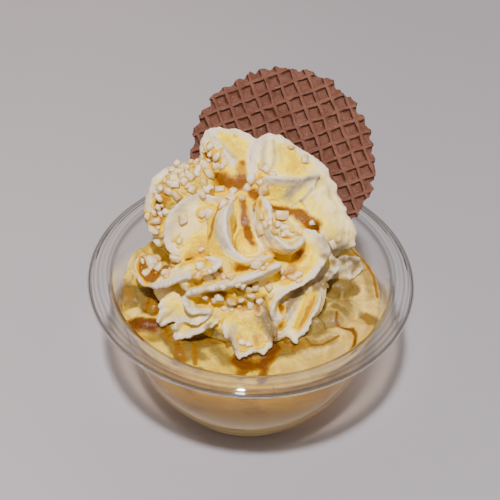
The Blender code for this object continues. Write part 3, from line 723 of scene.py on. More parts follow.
# each fold is a leaf between its crest, the lip that shows, and its root in the body
creamFolds = [
    dict(crest=[(-18, 31, 85), (-21, 36, 88), (-20, 39, 94), (-17, 40, 96), (-6, 38, 97), (2, 35, 94)],
         root=[(-10, 31, 83), (-11, 33, 85), (-7, 34, 87), (-2, 31, 88)],
         thick=7.0, lip=1.3, rim=1.2),
    dict(crest=[(-18, 38.4, 96), (-13, 33.4, 92.6), (-9, 29.6, 89.4), (-5, 26, 86.5)],
         root=[(-20, 37, 92), (-18, 34, 88), (-14, 31, 85), (-9, 28, 82)],
         thick=3.0, lip=1.2, rim=2.0),
    dict(crest=[(-0.8, 25, 88.5), (-1.5, 29.5, 91), (-0.4, 33, 94), (1, 35, 96), (5, 36, 98), (8, 35, 98),
                (16, 33, 94), (25, 31, 89), (29, 28, 85)],
         root=[(2, 23, 85), (6, 22, 86), (13, 22, 86), (20, 24, 84), (26, 23, 80)],
         thick=8.0, lip=1.4, rim=2.2),
    dict(crest=[(3, 17, 91), (5, 16, 93), (9, 15, 93), (14, 17, 92), (19, 20, 90), (25, 24, 88.5)],
         root=[(3, 16, 86), (8, 14.5, 82), (11.4, 14, 80), (16, 16.5, 82), (23, 21, 86)],
         thick=6.0, lip=1.6, bulge=-1.0, rim=2.6),
    dict(crest=[(29, 27, 85), (32, 22, 80), (34, 18, 78), (37, 15, 73), (39, 11, 67), (35, 9, 64),
                (29, 9, 61)],
         root=[(15, 19, 80), (19, 16, 77), (24, 11, 72), (26, 9, 67)],
         thick=14.0, lip=1.4, bulge=2.0, rim=0.8, ragged=1.2),
    dict(crest=[(-15, 24, 90), (-22, 24, 91), (-28, 26, 88), (-34, 24, 86), (-39, 20, 80), (-40, 16, 73),
                (-38, 13, 66)],
         root=[(-15, 18, 84), (-22, 18, 81), (-29, 17, 73), (-31, 13, 64)],
         thick=12.0, lip=4.0, rim=0.4),
    dict(crest=[(-10, 8, 88), (-16, 7, 90), (-21, 8, 90), (-26, 4, 89), (-30, 2, 86), (-32, -1, 81),
                (-32, -3, 77), (-28, -7, 70)],
         root=[(-12, 8, 83), (-14, 6, 79), (-15, 1, 74), (-18, -2, 69)],
         thick=7.0, lip=1.3, rim=1.4),
    dict(crest=[(-8, 5, 91), (-10, -2, 90), (-10, -7, 88), (-9, -11, 85), (-5, -15, 82), (0, -17, 81),
                (8, -15, 82)],
         root=[(-9.5, 7, 84), (-12, 0, 82), (-12, -6, 79), (-10.5, -10, 76), (-5, -13.5, 73),
               (5, -13, 74)],
         thick=10.0, lip=1.6, rim=2.6, taper=0.8),
    dict(crest=[(1, 5, 88), (2, 7, 91), (5, 3, 91), (6, -1, 89), (7, -7, 86), (10, -10, 84), (14, -11, 82),
                (20, -2, 80)],
         root=[(1, 7, 84), (2.5, 4, 82), (4, 0, 79), (8, -3, 76), (16, 2, 74)],
         thick=9.0, lip=1.5, rim=2.2, taper=0.9),
    dict(crest=[(19, 3, 80), (25, 1, 78), (28, -2, 75), (25, -10, 72), (19, -16, 70), (14, -19, 69),
                (9, -23, 67), (8, -25, 64), (9, -25, 60), (13, -22, 59), (15, -19, 61)],
         root=[(16, 3, 74), (19, 0, 68), (14, -7, 65), (9, -12, 64), (7, -15, 61), (10, -15, 59)],
         thick=8.0, lip=1.4, rim=1.0, taper=0.9),
    dict(crest=[(-43, 2, 64), (-44, 0, 60), (-42, -5, 58), (-38, -10, 60), (-32, -16, 66), (-24, -19, 73),
                (-17, -21, 77), (-12, -20, 80), (-11, -18, 81), (-17, -15, 80)],
         root=[(-38, 10, 56), (-35, 1, 57), (-25, -6, 66), (-17, -12, 73), (-16, -12, 74)],
         thick=6.0, lip=1.6, rim=1.6, taper=0.9),
    dict(crest=[(-24, -22, 67.5), (-19, -23, 71), (-12, -23.4, 73.6), (-4, -23.4, 76.6), (3, -21.5, 78.8),
                (11, -16, 79.4)],
         root=[(-19, -13, 63), (-8, -14, 68), (-1, -13, 70), (9, -8, 72)],
         thick=8.0, lip=2.0, rim=2.0, taper=0.8),
    dict(crest=[(-24, -22, 68), (-24, -24, 66), (-21, -25, 62), (-18, -25, 62), (-14, -25, 62)],
         root=[(-20, -14, 61), (-18, -16, 59), (-13, -17, 60)],
         thick=4.0, lip=1.5, rim=1.6),
    dict(crest=[(-34, -21, 61), (-33, -22.3, 56.4), (-33, -22, 51.2), (-28, -23, 55), (-17, -27, 59),
                (-14, -25, 61)],
         root=[(-29, -14, 62), (-24, -17, 59), (-18, -19, 58), (-13, -18, 60)],
         thick=6.0, lip=1.3, ragged=1.2),
    dict(crest=[(-27, -27, 58), (-27, -27.2, 50.4), (-24, -27.4, 51.5), (-20, -28, 54), (-11, -28, 60)],
         root=[(-23, -20, 56), (-20, -19, 54), (-10, -19, 58)],
         thick=5.0, lip=1.2, ragged=1.4),
    dict(crest=[(-10, -30, 60), (-6, -33.2, 55.2), (-3, -35.2, 50.4), (1, -34.4, 52.5), (5, -33.3, 51.4),
                (8, -31.6, 52.7), (10, -29, 59)],
         root=[(-9, -22, 60), (-3, -23, 56), (3, -23, 56), (9, -21, 59)],
         thick=7.0, lip=1.2, rim=0.7, ragged=1.6),
    dict(crest=[(25, -11, 66), (26, -15, 60), (24, -18, 55), (20, -22.8, 53), (17, -28.4, 50.5)],
         root=[(18, -9, 62), (16, -15, 57), (11, -23, 54)],
         thick=6.0, lip=1.3, rim=0.8, ragged=1.2),
    dict(crest=[(31, 4, 66), (32, 2, 64), (32, 0, 62), (29, -4, 61), (26, -8, 61)],
         root=[(27, 7, 62), (26, 2, 60), (25, 0, 59)],
         thick=8.0, lip=1.5, ragged=1.3),
    dict(crest=[(35, 9, 61), (41, 12.1, 57), (43, 12.2, 53), (41, 9.8, 51.5), (36, 5.8, 51.5),
                (29, 1.8, 51.5)],
         root=[(30, 11, 56), (31, 9, 53), (27, 6, 52)],
         thick=10.0, lip=1.8, rim=0.6, ragged=1.6),
]


def smoothLine(points, count):
    knots = np.asarray(points, float)
    gaps = np.linalg.norm(np.diff(knots, axis=0), axis=1)[:, None] ** 0.5
    place = np.r_[0.0, np.cumsum(gaps)]
    before = np.diff(knots, axis=0) / gaps
    slope = np.vstack([before[:1], before])
    slope[1:-1] = (before[:-1] * gaps[1:] + before[1:] * gaps[:-1]) / (gaps[:-1] + gaps[1:])
    line = []
    for where in np.linspace(0, place[-1], count):
        i = min(int(np.searchsorted(place, where, side="right")) - 1, len(knots) - 2)
        h = place[i + 1] - place[i]
        s = (where - place[i]) / h
        line.append((2 * s ** 3 - 3 * s ** 2 + 1) * knots[i] + (s ** 3 - 2 * s ** 2 + s) * h * slope[i]
                    + (3 * s ** 2 - 2 * s ** 3) * knots[i + 1] + (s ** 3 - s ** 2) * h * slope[i + 1])
    return np.array(line)


def foldLines(fold):
    # the crest is uneven, as piped cream tears
    crest = smoothLine(fold["crest"], cream["stations"])
    root = smoothLine(fold["root"], cream["stations"])
    up = (crest - root) / np.linalg.norm(crest - root, axis=1)[:, None]
    uneven = ripple(crest, *cream["tears"]) * fold.get("ragged", cream["ragged"])
    return crest + up * uneven[:, None], root


def foldMesh(fold):
    count = cream["stations"]
    crest, root = foldLines(fold)
    side = np.cross(np.gradient(crest, axis=0) + np.gradient(root, axis=0), crest - root)
    side /= np.linalg.norm(side, axis=1)[:, None]
    lip = fold["lip"] / 2
    heights = np.linspace(0, 1, 9)
    half = lip + (fold["thick"] / 2 - lip) * (1 - heights) ** fold.get("taper", cream["taper"])
    bow = fold.get("bulge", 0) * np.sin(math.pi * heights)
    verts = []
    for i in range(count):
        t = i / (count - 1)
        size = math.sqrt(max(min(1, min(t, 1 - t) / cream["foldEnd"]), 0.02))
        rise = crest[i] - root[i]
        up = rise / np.linalg.norm(rise)
        near = [root[i] + rise * h + side[i] * (w * size + b) for h, w, b in zip(heights, half, bow)]
        far = [root[i] + rise * h - side[i] * (w * size - b) for h, w, b in zip(heights, half, bow)]
        tip = [crest[i] + (up * math.sin(a) + side[i] * math.cos(a)) * lip * size
               for a in np.radians((30, 60, 90, 120, 150))]
        verts += [tuple(point * mm) for point in near + tip + far[::-1]]
    ring = len(verts) // count
    faces = [tuple(range(ring))[::-1], tuple(range(len(verts) - ring, len(verts)))]
    for i in range(count - 1):
        for j in range(ring):
            a, b = i * ring + j, i * ring + (j + 1) % ring
            faces.append((a, b, b + ring, a + ring))
    mesh = bpy.data.meshes.new("fold")
    mesh.from_pydata(verts, [], faces)
    changeMesh(mesh, closeEnds)
    return mesh


def closeEnds(shape):
    bmesh.ops.triangulate(shape, faces=[face for face in shape.faces if len(face.verts) > 4])
    bmesh.ops.recalc_face_normals(shape, faces=shape.faces)


def backRidge(direction):
    start, end = math.radians(direction), math.radians(direction + cream["ridgeTurn"])

    def at(radius, height, heading):
        return (radius * math.cos(heading) - 2, radius * math.sin(heading) + 5, height)

    return dict(crest=[at(38, 51, start), at(36.5, 60.5, (start + end) / 2), at(30, 70, end)],
                root=[at(29, 51, start), at(21, 66, end)], thick=8.0, lip=2.6)


sauceTrails = {                     # photo pixels along it, reach in mm, how much
    "caramel": [
        ([(143, 260), (144, 272), (152, 280)], 3.4, 1.6), ([(149, 255), (158, 262), (163, 270)], 3.4, 1.5),
        ([(166, 196), (159, 206), (156, 222)], 3.4, 0.75), ([(167, 250), (161, 256)], 3.0, 0.9),
        ([(206, 156), (211, 167), (220, 177)], 2.2, 1.2), ([(219, 178), (230, 184), (242, 181)], 3.2, 1.1),
        ([(241, 164), (243, 176)], 2.2, 0.8), ([(254, 194), (259, 202)], 2.6, 1.0),
        ([(219, 209), (214, 218), (212, 230), (209, 238)], 1.3, 0.9),
        ([(242, 198), (244, 208), (245, 222), (249, 236), (254, 243)], 1.8, 1.0),
        ([(246, 228), (249, 236), (253, 242)], 1.7, 1.4),
        ([(272, 208), (284, 211), (300, 213), (316, 227)], 2.0, 1.0),
        ([(299, 214), (307, 220), (314, 226)], 2.6, 1.5),
        ([(236, 267), (248, 265), (262, 263), (270, 260)], 2.3, 0.85),
        ([(293, 245), (301, 240)], 2.0, 0.5), ([(299, 252), (296, 264), (286, 276)], 2.8, 0.62),
        ([(205, 291), (213, 297), (222, 296)], 3.4, 0.8), ([(228, 298), (240, 304), (252, 304)], 3.2, 0.6),
        ([(256, 300), (258, 310)], 1.6, 0.7), ([(282, 308), (284, 318), (280, 326)], 1.8, 0.8),
        ([(317, 297), (309, 308), (303, 322), (298, 334)], 1.5, 0.6),
        ([(261, 337), (263, 341)], 1.8, 0.45), ([(176, 168), (184, 180), (196, 190)], 1.4, 0.55),
        ([(156, 212), (152, 224), (154, 236)], 2.0, 0.8), ([(167, 176), (160, 190)], 1.6, 0.7),
        ([(206, 190), (214, 196), (224, 200)], 1.6, 0.7), ([(228, 284), (240, 288), (256, 284)], 1.6, 0.7),
        ([(214, 284), (200, 288), (192, 286)], 1.6, 0.7), ([(276, 232), (288, 238), (300, 236)], 1.6, 0.6),
        ([(255, 338), (257, 350)], 1.8, 0.6)],
    "advocaat": [
        ([(240, 188), (243, 203), (240, 222), (240, 240), (250, 248)], 2.6, 0.95),
        ([(302, 250), (298, 266), (286, 280)], 3.0, 1.1), ([(212, 234), (205, 247), (192, 256)], 5.0, 0.8),
        ([(236, 222), (238, 236), (244, 250)], 1.8, 0.9),
        ([(218, 252), (232, 264), (252, 264), (270, 258)], 2.2, 1.2),
        ([(222, 190), (236, 198), (252, 192)], 4.0, 1.0), ([(207, 166), (216, 182)], 4.0, 0.9),
        ([(292, 262), (302, 272), (310, 262)], 3.0, 0.8), ([(218, 278), (236, 273), (256, 268)], 1.8, 1.1),
        ([(213, 211), (210, 228), (212, 240)], 2.6, 1.1),
        ([(210, 246), (220, 254), (236, 268), (256, 270)], 3.0, 0.9),
        ([(186, 263), (200, 262), (212, 261)], 2.6, 1.0),
        ([(196, 280), (212, 278), (240, 271), (265, 264), (283, 257)], 3.4, 1.1),
        ([(240, 264), (262, 264), (285, 270), (298, 258), (302, 246)], 2.8, 1.1),
        ([(218, 186), (232, 193), (245, 196), (262, 192)], 8.0, 1.0), ([(228, 142), (240, 152)], 6.0, 0.5),
        ([(286, 152), (296, 162), (290, 168)], 5.0, 0.6), ([(272, 188), (284, 197)], 6.0, 0.4),
        ([(306, 202), (320, 218), (334, 236)], 5.0, 0.3),
        ([(205, 306), (225, 312), (250, 316), (266, 302), (250, 292)], 4.5, 0.8),
        ([(166, 190), (176, 180), (196, 176)], 9.0, 0.42), ([(160, 206), (158, 226)], 6.0, 0.5),
        ([(240, 336), (256, 342)], 7.0, 0.62), ([(264, 328), (258, 348), (250, 362)], 3.0, 1.0),
        ([(313, 299), (301, 324), (288, 340)], 3.0, 1.1), ([(232, 220), (236, 240), (248, 252)], 2.6, 0.8),
        ([(184, 340), (205, 332), (215, 328)], 4.0, 0.4), ([(164, 299), (176, 305)], 4.0, 0.35)],
    "shade": [                      # cream in deep shade
        ([(272, 250), (282, 256), (296, 250)], 2.4, 0.6), ([(196, 278), (206, 280), (216, 278)], 2.4, 0.5),
        ([(258, 304), (264, 314), (268, 326), (276, 336)], 4.0, 1.0),
        ([(226, 292), (238, 298), (250, 298)], 3.0, 0.7), ([(208, 326), (216, 334), (228, 340)], 3.0, 0.8),
        ([(300, 290), (292, 300), (286, 310)], 2.2, 0.9),
        ([(168, 188), (182, 180), (198, 180)], 9.0, 0.55), ([(240, 336), (256, 346)], 7.0, 0.44),
        ([(290, 318), (296, 304), (304, 294)], 1.6, 0.6), ([(326, 256), (334, 262), (344, 262)], 2.6, 0.9),
        ([(316, 286), (324, 280), (340, 284)], 2.4, 1.0), ([(350, 258), (358, 264), (352, 272)], 1.8, 0.8),
        ([(322, 268), (330, 272)], 1.4, 0.8)],
    "cream": [                      # bare cream, with no sauce
        ([(224, 258), (230, 266), (222, 270)], 2.4, 0.8), ([(238, 236), (241, 246), (250, 252)], 1.8, 0.4),
        ([(258, 238), (262, 246)], 2.4, 0.9), ([(254, 212), (262, 224), (266, 236)], 2.6, 0.9),
        ([(302, 266), (310, 262)], 2.6, 0.7), ([(234, 330), (240, 340)], 4.0, 0.7),
        ([(224, 274), (236, 277), (250, 274)], 1.6, 0.5),
        ([(262, 284), (272, 290), (282, 290)], 2.6, 0.8)],
    "greyShade": [                       # soft shade on the white parts
        ([(216, 220), (218, 234), (226, 247)], 2.2, 1.0), ([(254, 214), (260, 226), (268, 238)], 2.6, 0.8),
        ([(265, 139), (263, 152), (264, 169)], 1.5, 0.9), ([(273, 140), (275, 152), (273, 166)], 1.0, 0.8),
        ([(280, 146), (282, 162)], 0.9, 0.6), ([(214, 137), (224, 148), (236, 158)], 1.2, 0.7),
        ([(288, 196), (294, 187), (304, 181), (312, 178)], 2.6, 1.2),
        ([(320, 178), (312, 189), (302, 200), (292, 207)], 0.8, 1.2),
        ([(276, 182), (290, 181), (306, 178)], 1.4, 0.6), ([(322, 180), (328, 186), (330, 196)], 2.0, 0.5),
        ([(336, 236), (343, 232)], 2.0, 0.6), ([(196, 196), (186, 203), (178, 214), (170, 232)], 2.4, 0.6),
        ([(216, 216), (217, 232), (223, 244)], 1.6, 0.6), ([(252, 208), (258, 222), (262, 232)], 1.8, 0.6),
        ([(283, 228), (290, 238)], 2.0, 0.5), ([(326, 244), (336, 248), (350, 250), (356, 262)], 4.5, 1.3),
        ([(322, 272), (336, 276), (350, 268)], 4.0, 1.3),
        ([(280, 304), (292, 296), (306, 286), (320, 276)], 2.2, 1.2),
        ([(196, 306), (204, 314), (216, 316)], 1.6, 0.7), ([(150, 322), (170, 316), (190, 318)], 2.6, 0.6),
        ([(170, 336), (186, 330), (206, 330)], 2.2, 0.6), ([(232, 330), (238, 350), (246, 362)], 3.0, 0.6),
        ([(152, 176), (146, 196), (146, 214)], 3.0, 0.5)],
}

creamLook = {
    # bare cream on the crests, painted greyer as shade
    "lip": (0.60, 0.50, 0.41),
    # painted soft shade on the white parts
    "greyShade": (0.33, 0.265, 0.165),
    "white": (0.86, 0.71, 0.46),
    "yellows": [                    # advocaat from and to, and the colour that comes in
        (-0.15, 0.15, (0.86, 0.66, 0.28)), (0.1, 0.45, (0.82, 0.60, 0.10)),
        (0.45, 0.65, (0.90, 0.635, 0.002)), (0.75, 1.1, (0.75, 0.455, 0.001))],
    "caramels": [                   # the same for caramel
        (0.25, 0.45, (0.75, 0.455, 0.001)), (0.45, 0.75, (0.46, 0.21, 0.001)),
        (0.8, 1.15, (0.19, 0.062, 0.001))],
    "shade": (0.19, 0.122, 0.045),  # where the photo shows cream in deep shade
    "roughness": (0.5, 0.14),       # dry and wet
}


def makeCream():
    meshes = [foldMesh(fold) for fold in creamFolds + [backRidge(a) for a in cream["backRidges"]]]
    pieces = [addMesh("fold", mesh) for mesh in meshes]
    for middle, radii in cream["body"]:
        deselect()
        bpy.ops.mesh.primitive_uv_sphere_add(segments=48, ring_count=30, radius=1,
                                             location=Vector(middle) * mm, scale=Vector(radii) * mm)
        freeze(bpy.context.object)
        pieces.append(bpy.context.object)
    piece = joinPieces("creamFolds", pieces)
    modify(piece, "REMESH", mode="VOXEL", voxel_size=cream["voxel"] * mm)
    modify(piece, "SMOOTH", factor=0.5, iterations=cream["smoothing"])
    trimBelow(piece, cream["below"])
    changeMesh(piece.data, keepLargest)
    piece.data.validate()
    paintCream(piece)
    piece.data.shade_smooth()
    return finishPiece(piece, creamMaterial(), ["whipped_cream"])


def trimBelow(piece, height):
    select(piece)
    bpy.ops.object.mode_set(mode="EDIT")
    bpy.ops.mesh.select_all(action="SELECT")
    bpy.ops.mesh.bisect(plane_co=(0, 0, height * mm), plane_no=(0, 0, 1), use_fill=True, clear_inner=True)
    bpy.ops.object.mode_set(mode="OBJECT")


def keepLargest(shape):
    left = set(shape.verts)
    bodies = []
    while left:
        stack = [left.pop()]
        body = set(stack)
        while stack:
            for edge in stack.pop().link_edges:
                for vert in edge.verts:
                    if vert not in body:
                        body.add(vert)
                        stack.append(vert)
        left -= body
        bodies.append(body)
    largest = max(bodies, key=len)
    bmesh.ops.delete(shape, geom=[v for body in bodies if body is not largest for v in body], context="VERTS")


def paintCream(piece):
    # the amounts of every sauce and mark, then the cream's relief, smoother where sauce lies
    mesh = piece.data
    points = readPoints(mesh)
    normals = readNormals(mesh)
    edges = readArray(mesh.edges, "vertices", 2, np.int64)
    crease, hollow = findHollows(points, normals, edges)
    crestAway = np.stack([distanceToPath(points, foldLines(fold)[0][::3]) - fold["lip"] / 2
                          for fold in creamFolds], axis=1)
    nearest = crestAway.min(axis=1)
    streaks = np.array([noise.noise(Vector((away * 0.8, fold * 7.3, sum(point) * 0.05)))
                        for away, fold, point in zip(nearest, crestAway.argmin(axis=1), points)])
    wobble = ripples(points, markEdges["ripples"])
    amounts = sauceAmounts(points, shapeOf(mesh), hollow, ease(nearest, 0.0, 2.0), wobble)
    sauce = spreadOut(np.clip(amounts["caramel"] + amounts["advocaat"] * 0.5, 0, 1), edges, 3)
    relief = ripples(points, cream["relief"]) + streaks * cream["streaks"] * ease(nearest, 9.0, 4.0)
    torn = ripples(points, [cream["torn"]]) * ease(crease, -0.15, -0.5)
    fill = np.clip(crease, 0, 1.2) * cream["sauceDepth"] * ease(sauce, 0.35, 0.9)
    relief *= 1 - cream["sauceDepth"] * ease(sauce, 0.3, 0.9)
    points += normals * (relief + torn + fill)[:, None]
    writePoints(mesh, points)
    # the lips: bare cream where the sauce runs off the crests, painted grey as shade
    pale = ease(crease, -0.2, -0.6) * 0.6
    patchy = 1.0 + 0.9 * ripple(points, 6.0, 52)
    for i, fold in enumerate(creamFolds):
        rim = fold.get("rim", cream["rim"]) * patchy
        pale = np.maximum(pale, ease(crestAway[:, i] + wobble * 1.2, rim * 1.4 + 0.1, -0.2))
    dry = (1 - ease(amounts["caramel"], 0.5, 1.0)) * (1 - ease(amounts["advocaat"], 0.75, 1.2))
    writeAttributes(mesh, lip=pale * dry, **amounts)


def findHollows(points, normals, edges):
    # how far every point lies under its near and its wider surroundings, in mm
    near, far = cream["rounds"]
    scale = (0.5 / cream["voxel"]) ** 2
    close = spreadOut(points, edges, int(near * scale) + 1)
    wide = spreadOut(close, edges, int(far * scale))
    return [np.einsum("ij,ij->i", level - points, normals) for level in (close, wide)]


def sauceAmounts(points, shape, hollow, clean, wobble):
    # clean is 0 at a crest, where little sauce stays
    everywhere, yellow, brown = cream["valleyAmounts"]
    yellowTrail, brownTrail = cream["trailAmounts"]
    low = ease(hollow, -0.9, 0.3)
    deep = ease(hollow, -0.5, 1.6)
    share = 0.3 + 0.7 * clean
    amounts = {kind: np.zeros(len(points)) for kind in sauceTrails}
    amounts["advocaat"] += everywhere + ease(hollow, *cream["valley"]) * yellow * share
    # caramel pooled in the deep hollows, and painted shade that darkens them
    amounts["caramel"] += ease(hollow, *cream["pooledAndShaded"]) * brown

    def add(kind, amount):
        amounts[kind] = np.maximum(amounts[kind], amount)

    for kind, trails in sauceTrails.items():
        for path, reach, depth in trails:
            if kind not in ("caramel", "advocaat"):
                add(kind, trailAmount(points, shape, path, reach, wobble, "cream") * depth)
                continue
            halo = trailAmount(points, shape, path, reach, wobble, "halo") * depth
            add("advocaat", yellowTrail * halo * (0.8 + 0.2 * low) * share)
            if kind == "caramel":
                core = trailAmount(points, shape, path, reach, wobble, "core") * depth
                add(kind, brownTrail * core * (0.6 + 0.2 * low + 0.2 * deep) * (0.4 + 0.6 * clean))
    bare = amounts.pop("cream")
    amounts["advocaat"] *= 1 - np.clip(bare, 0, 0.9)
    amounts["caramel"] *= 1 - np.clip(bare, 0, 1)
    return amounts


def creamMaterial():
    look = Finish("whippedCream", Subsurface_Weight=0.08, Subsurface_Scale=0.001,
                  Subsurface_Radius=(1.0, 0.8, 0.5), Specular_IOR_Level=0.2)
    cloud = look.noise(7, 4, 0.6, 0.5)
    fine = look.noise(1.3, 4, 0.6)
    advocaat = look.mottled(look.attribute("advocaat"), (cloud, 0.6), (fine, 0.4))
    caramel = look.mottled(look.attribute("caramel"), (cloud, 0.3), (fine, 0.4))
    shaded = look.mottled(look.attribute("shade"), (cloud, 0.5), (fine, 0.5))
    color = look.layers(advocaat, creamLook["white"], creamLook["yellows"])
    # the lips, painted grey as shade
    color = look.mix(look.attribute("lip") * 0.85, color, creamLook["lip"])
    # painted soft shade on the white parts
    color = look.mix(look.attribute("greyShade") * (look.step(fine + cloud, 0.6, 1.1) * 0.6 + 0.35), color,
                     creamLook["greyShade"])
    color = look.mix(look.step(shaded, 0.15, 0.9), color, creamLook["shade"])
    wet = look.step(caramel, 0.2, 0.4).larger(look.step(advocaat, 0.5, 0.9))
    dryRoughness, wetRoughness = creamLook["roughness"]
    look.set(Base_Color=look.layers(caramel, color, creamLook["caramels"]),
             Roughness=dryRoughness - wet * (dryRoughness - wetRoughness))
    grain = look.noise(0.7, 3) * 0.35 + fine * 0.65
    look.bump(grain * (1 - wet * 0.6) + look.noise(1.8, 3) * wet * 2.2, 0.4)
    return look.material


# Chopped nuts

nuts = {
    "kinds": 12,                    # bits that differ, each copied many times
    "rough": (2.6, 0.3),            # how fine and how strong a bit's unevenness is
    "sink": (0.28, 0.30, (0.4, 1.2)),       # height of a nut's middle, less a share between two limits
    "tilt": 0.7,                    # radians a nut leans either way
    "scale": (0.62, 1.2),           # a nut's size against its cluster's
    "scatter": 0.55,                # share of a cluster's spread that is one deviation
    "crowd": 0.38,                  # how near two nuts lie, against the sum of their sizes
    "tries": 30,
    "pale": ((0.68, 0.55, 0.36), (0.57, 0.40, 0.16)),
    "toast": ((0.60, 0.36, 0.10), (0.42, 0.21, 0.04)),
    # sauce on the nut's lower part, with painted contact shade where it meets the cream
    "stain": (0.50, 0.27, 0.02),
    "wetRing": 1.05,                # how far a nut stains the cream, in its own sizes
    "clusters": [                   # photo pixels: middle, spread, how many, size in mm
        ((184, 172), (14, 7), 10, 4.0), ((204, 184), (7, 8), 6, 4.1), ((172, 187), (7, 8), 6, 3.9),
        ((190, 162), (16, 3), 5, 3.4), ((208, 158), (8, 11), 5, 3.5), ((216, 168), (6, 7), 2, 3.4),
        ((161, 203), (5, 12), 8, 3.5), ((153, 222), (5, 11), 9, 3.7), ((158, 234), (5, 7), 5, 3.5),
        ((155, 262), (12, 12), 7, 3.9), ((180, 264), (15, 6), 4, 3.8), ((205, 272), (8, 5), 2, 3.8),
        ((250, 187), (12, 7), 4, 4.9), ((262, 168), (8, 5), 2, 3.2), ((230, 204), (8, 6), 2, 4.4),
        ((264, 224), (7, 9), 4, 3.9), ((286, 231), (11, 9), 8, 4.1), ((225, 277), (26, 4), 6, 3.5),
        ((264, 266), (14, 7), 4, 3.4), ((246, 286), (20, 5), 6, 3.7), ((232, 305), (14, 7), 6, 3.7),
        ((258, 303), (9, 8), 4, 3.5), ((296, 278), (13, 7), 4, 3.5), ((210, 296), (8, 4), 2, 3.2),
        ((246, 342), (6, 6), 2, 3.4)],
    "singles": [                    # photo pixels and size of the ones that stand alone
        ((182, 219), 3.6), ((179, 241), 3.2), ((202, 249), 3.0), ((209, 214), 3.8), ((304, 160), 3.6),
        ((332, 244), 3.2), ((312, 223), 3.0), ((272, 174), 3.6), ((147, 318), 3.4), ((148, 331), 2.6),
        ((154, 247), 3.4), ((152, 330), 2.4)],
    "toasted": [
        ((291, 147), 3.4), ((145, 257), 3.6), ((152, 267), 4.0), ((167, 277), 3.4), ((196, 166), 2.8),
        ((209, 216), 3.0)],
    "behind": {                     # the ones on the back, thrown at the cream from behind
        "count": 22, "headings": (95, 215), "away": 60, "aim": [(-12, 2), (8, 22), (66, 84)],
        "lowest": 56, "sizes": (2.4, 3.6)},
}

# a blocky and a round bit: how many flats are chopped off, between which shares of its half width
blockyBit = {"cuts": 5, "near": 0.60, "far": 0.78, "bevel": 0.12}
roundBit = {"cuts": 4, "near": 0.58, "far": 0.82, "bevel": 0.05}


def nutShapes():
    # a few broken bits, blocky or round, with flats where they were chopped
    rng = random.Random(5)
    fine, strength = nuts["rough"]
    shapes = []
    for kind in range(nuts["kinds"]):
        deselect()
        size = Vector((rng.uniform(1.0, 1.25), rng.uniform(0.85, 1.0), rng.uniform(0.65, 0.9)))
        bit = roundBit if kind % 3 else blockyBit
        if bit is blockyBit:
            bpy.ops.mesh.primitive_cube_add(size=0.9, scale=size)
        else:
            bpy.ops.mesh.primitive_ico_sphere_add(subdivisions=2, radius=0.5, scale=size)
        chip = bpy.context.object
        freeze(chip)
        bpy.ops.object.mode_set(mode="EDIT")
        for _ in range(bit["cuts"]):
            bpy.ops.mesh.select_all(action="SELECT")
            aim = Vector((rng.uniform(-1, 1), rng.uniform(-1, 1), rng.uniform(-1, 1))).normalized()
            if bit is blockyBit:
                span = sum(abs(a) * s for a, s in zip(aim, size)) * 0.45
            else:
                span = 0.5 * (aim * size).length
            bpy.ops.mesh.bisect(plane_co=aim * span * rng.uniform(bit["near"], bit["far"]), plane_no=aim,
                                use_fill=True, clear_outer=True)
        bpy.ops.object.mode_set(mode="OBJECT")
        modify(chip, "BEVEL", width=bit["bevel"], segments=1, limit_method="ANGLE", angle_limit=0.6)
        rough = np.array([noise.noise(vert.co * fine + Vector((0, 0, kind))) for vert in chip.data.vertices])
        writePoints(chip.data, readPoints(chip.data) * (1 + strength * rough[:, None]))
        chip.data.shade_smooth()
        shapes.append(chip)
    return shapes


def scatterNuts(name, places, shapes, material, seed):
    rng = random.Random(seed)
    top, share, limits = nuts["sink"]
    tilt = nuts["tilt"]
    copies = []
    for spot, normal, size in places:
        base = rng.choice(shapes)
        copy = addMesh("nut", base.data.copy())
        lie = normal.to_track_quat("Z", "Y").to_matrix().to_4x4()
        turn = Matrix.Rotation(rng.uniform(0, math.tau), 4, "Z")
        turn = turn @ Matrix.Rotation(rng.uniform(-tilt, tilt), 4, "X")
        sink = size * (top - share * rng.uniform(*limits))
        place = Matrix.Translation((Vector(spot) + normal * sink) * mm)
        stretch = Matrix.Diagonal((rng.uniform(0.8, 1.2), rng.uniform(0.8, 1.1), rng.uniform(0.75, 1.1), 1))
        copy.data.transform(place @ lie @ turn @ stretch @ Matrix.Scale(size * mm, 4))
        above = (readPoints(copy.data) - np.array(spot)) @ np.array(normal) / size
        # lower part darker: sauce and painted contact shade
        writeAttributes(copy.data, tint=[rng.random()] * len(above), stain=ease(above, 0.42, 0.02))
        copies.append(copy)
    return finishPiece(joinPieces(name, copies), material)


def nutMaterial(name, colors):
    look = Finish(name, Subsurface_Weight=0.1, Subsurface_Scale=0.001, Specular_IOR_Level=0.3)
    grain = look.noise(0.9, 4)
    patch = look.noise(2.5, 2)
    tone = look.attribute("tint") * 0.6 + look.step(patch, 0.35, 0.7) * 0.5
    color = look.mix(look.step(tone, 0.25, 1.0), *colors)
    # sauce and painted contact shade low on the nut
    stain = look.mottled(look.attribute("stain") + look.attribute("tint") * 0.3, (patch, 0.8))
    look.set(Base_Color=look.mix(look.step(stain, 0.35, 1.1), color, nuts["stain"]),
             Roughness=0.3 + grain * 0.25)
    look.bump(grain, 0.15)
    return look.material


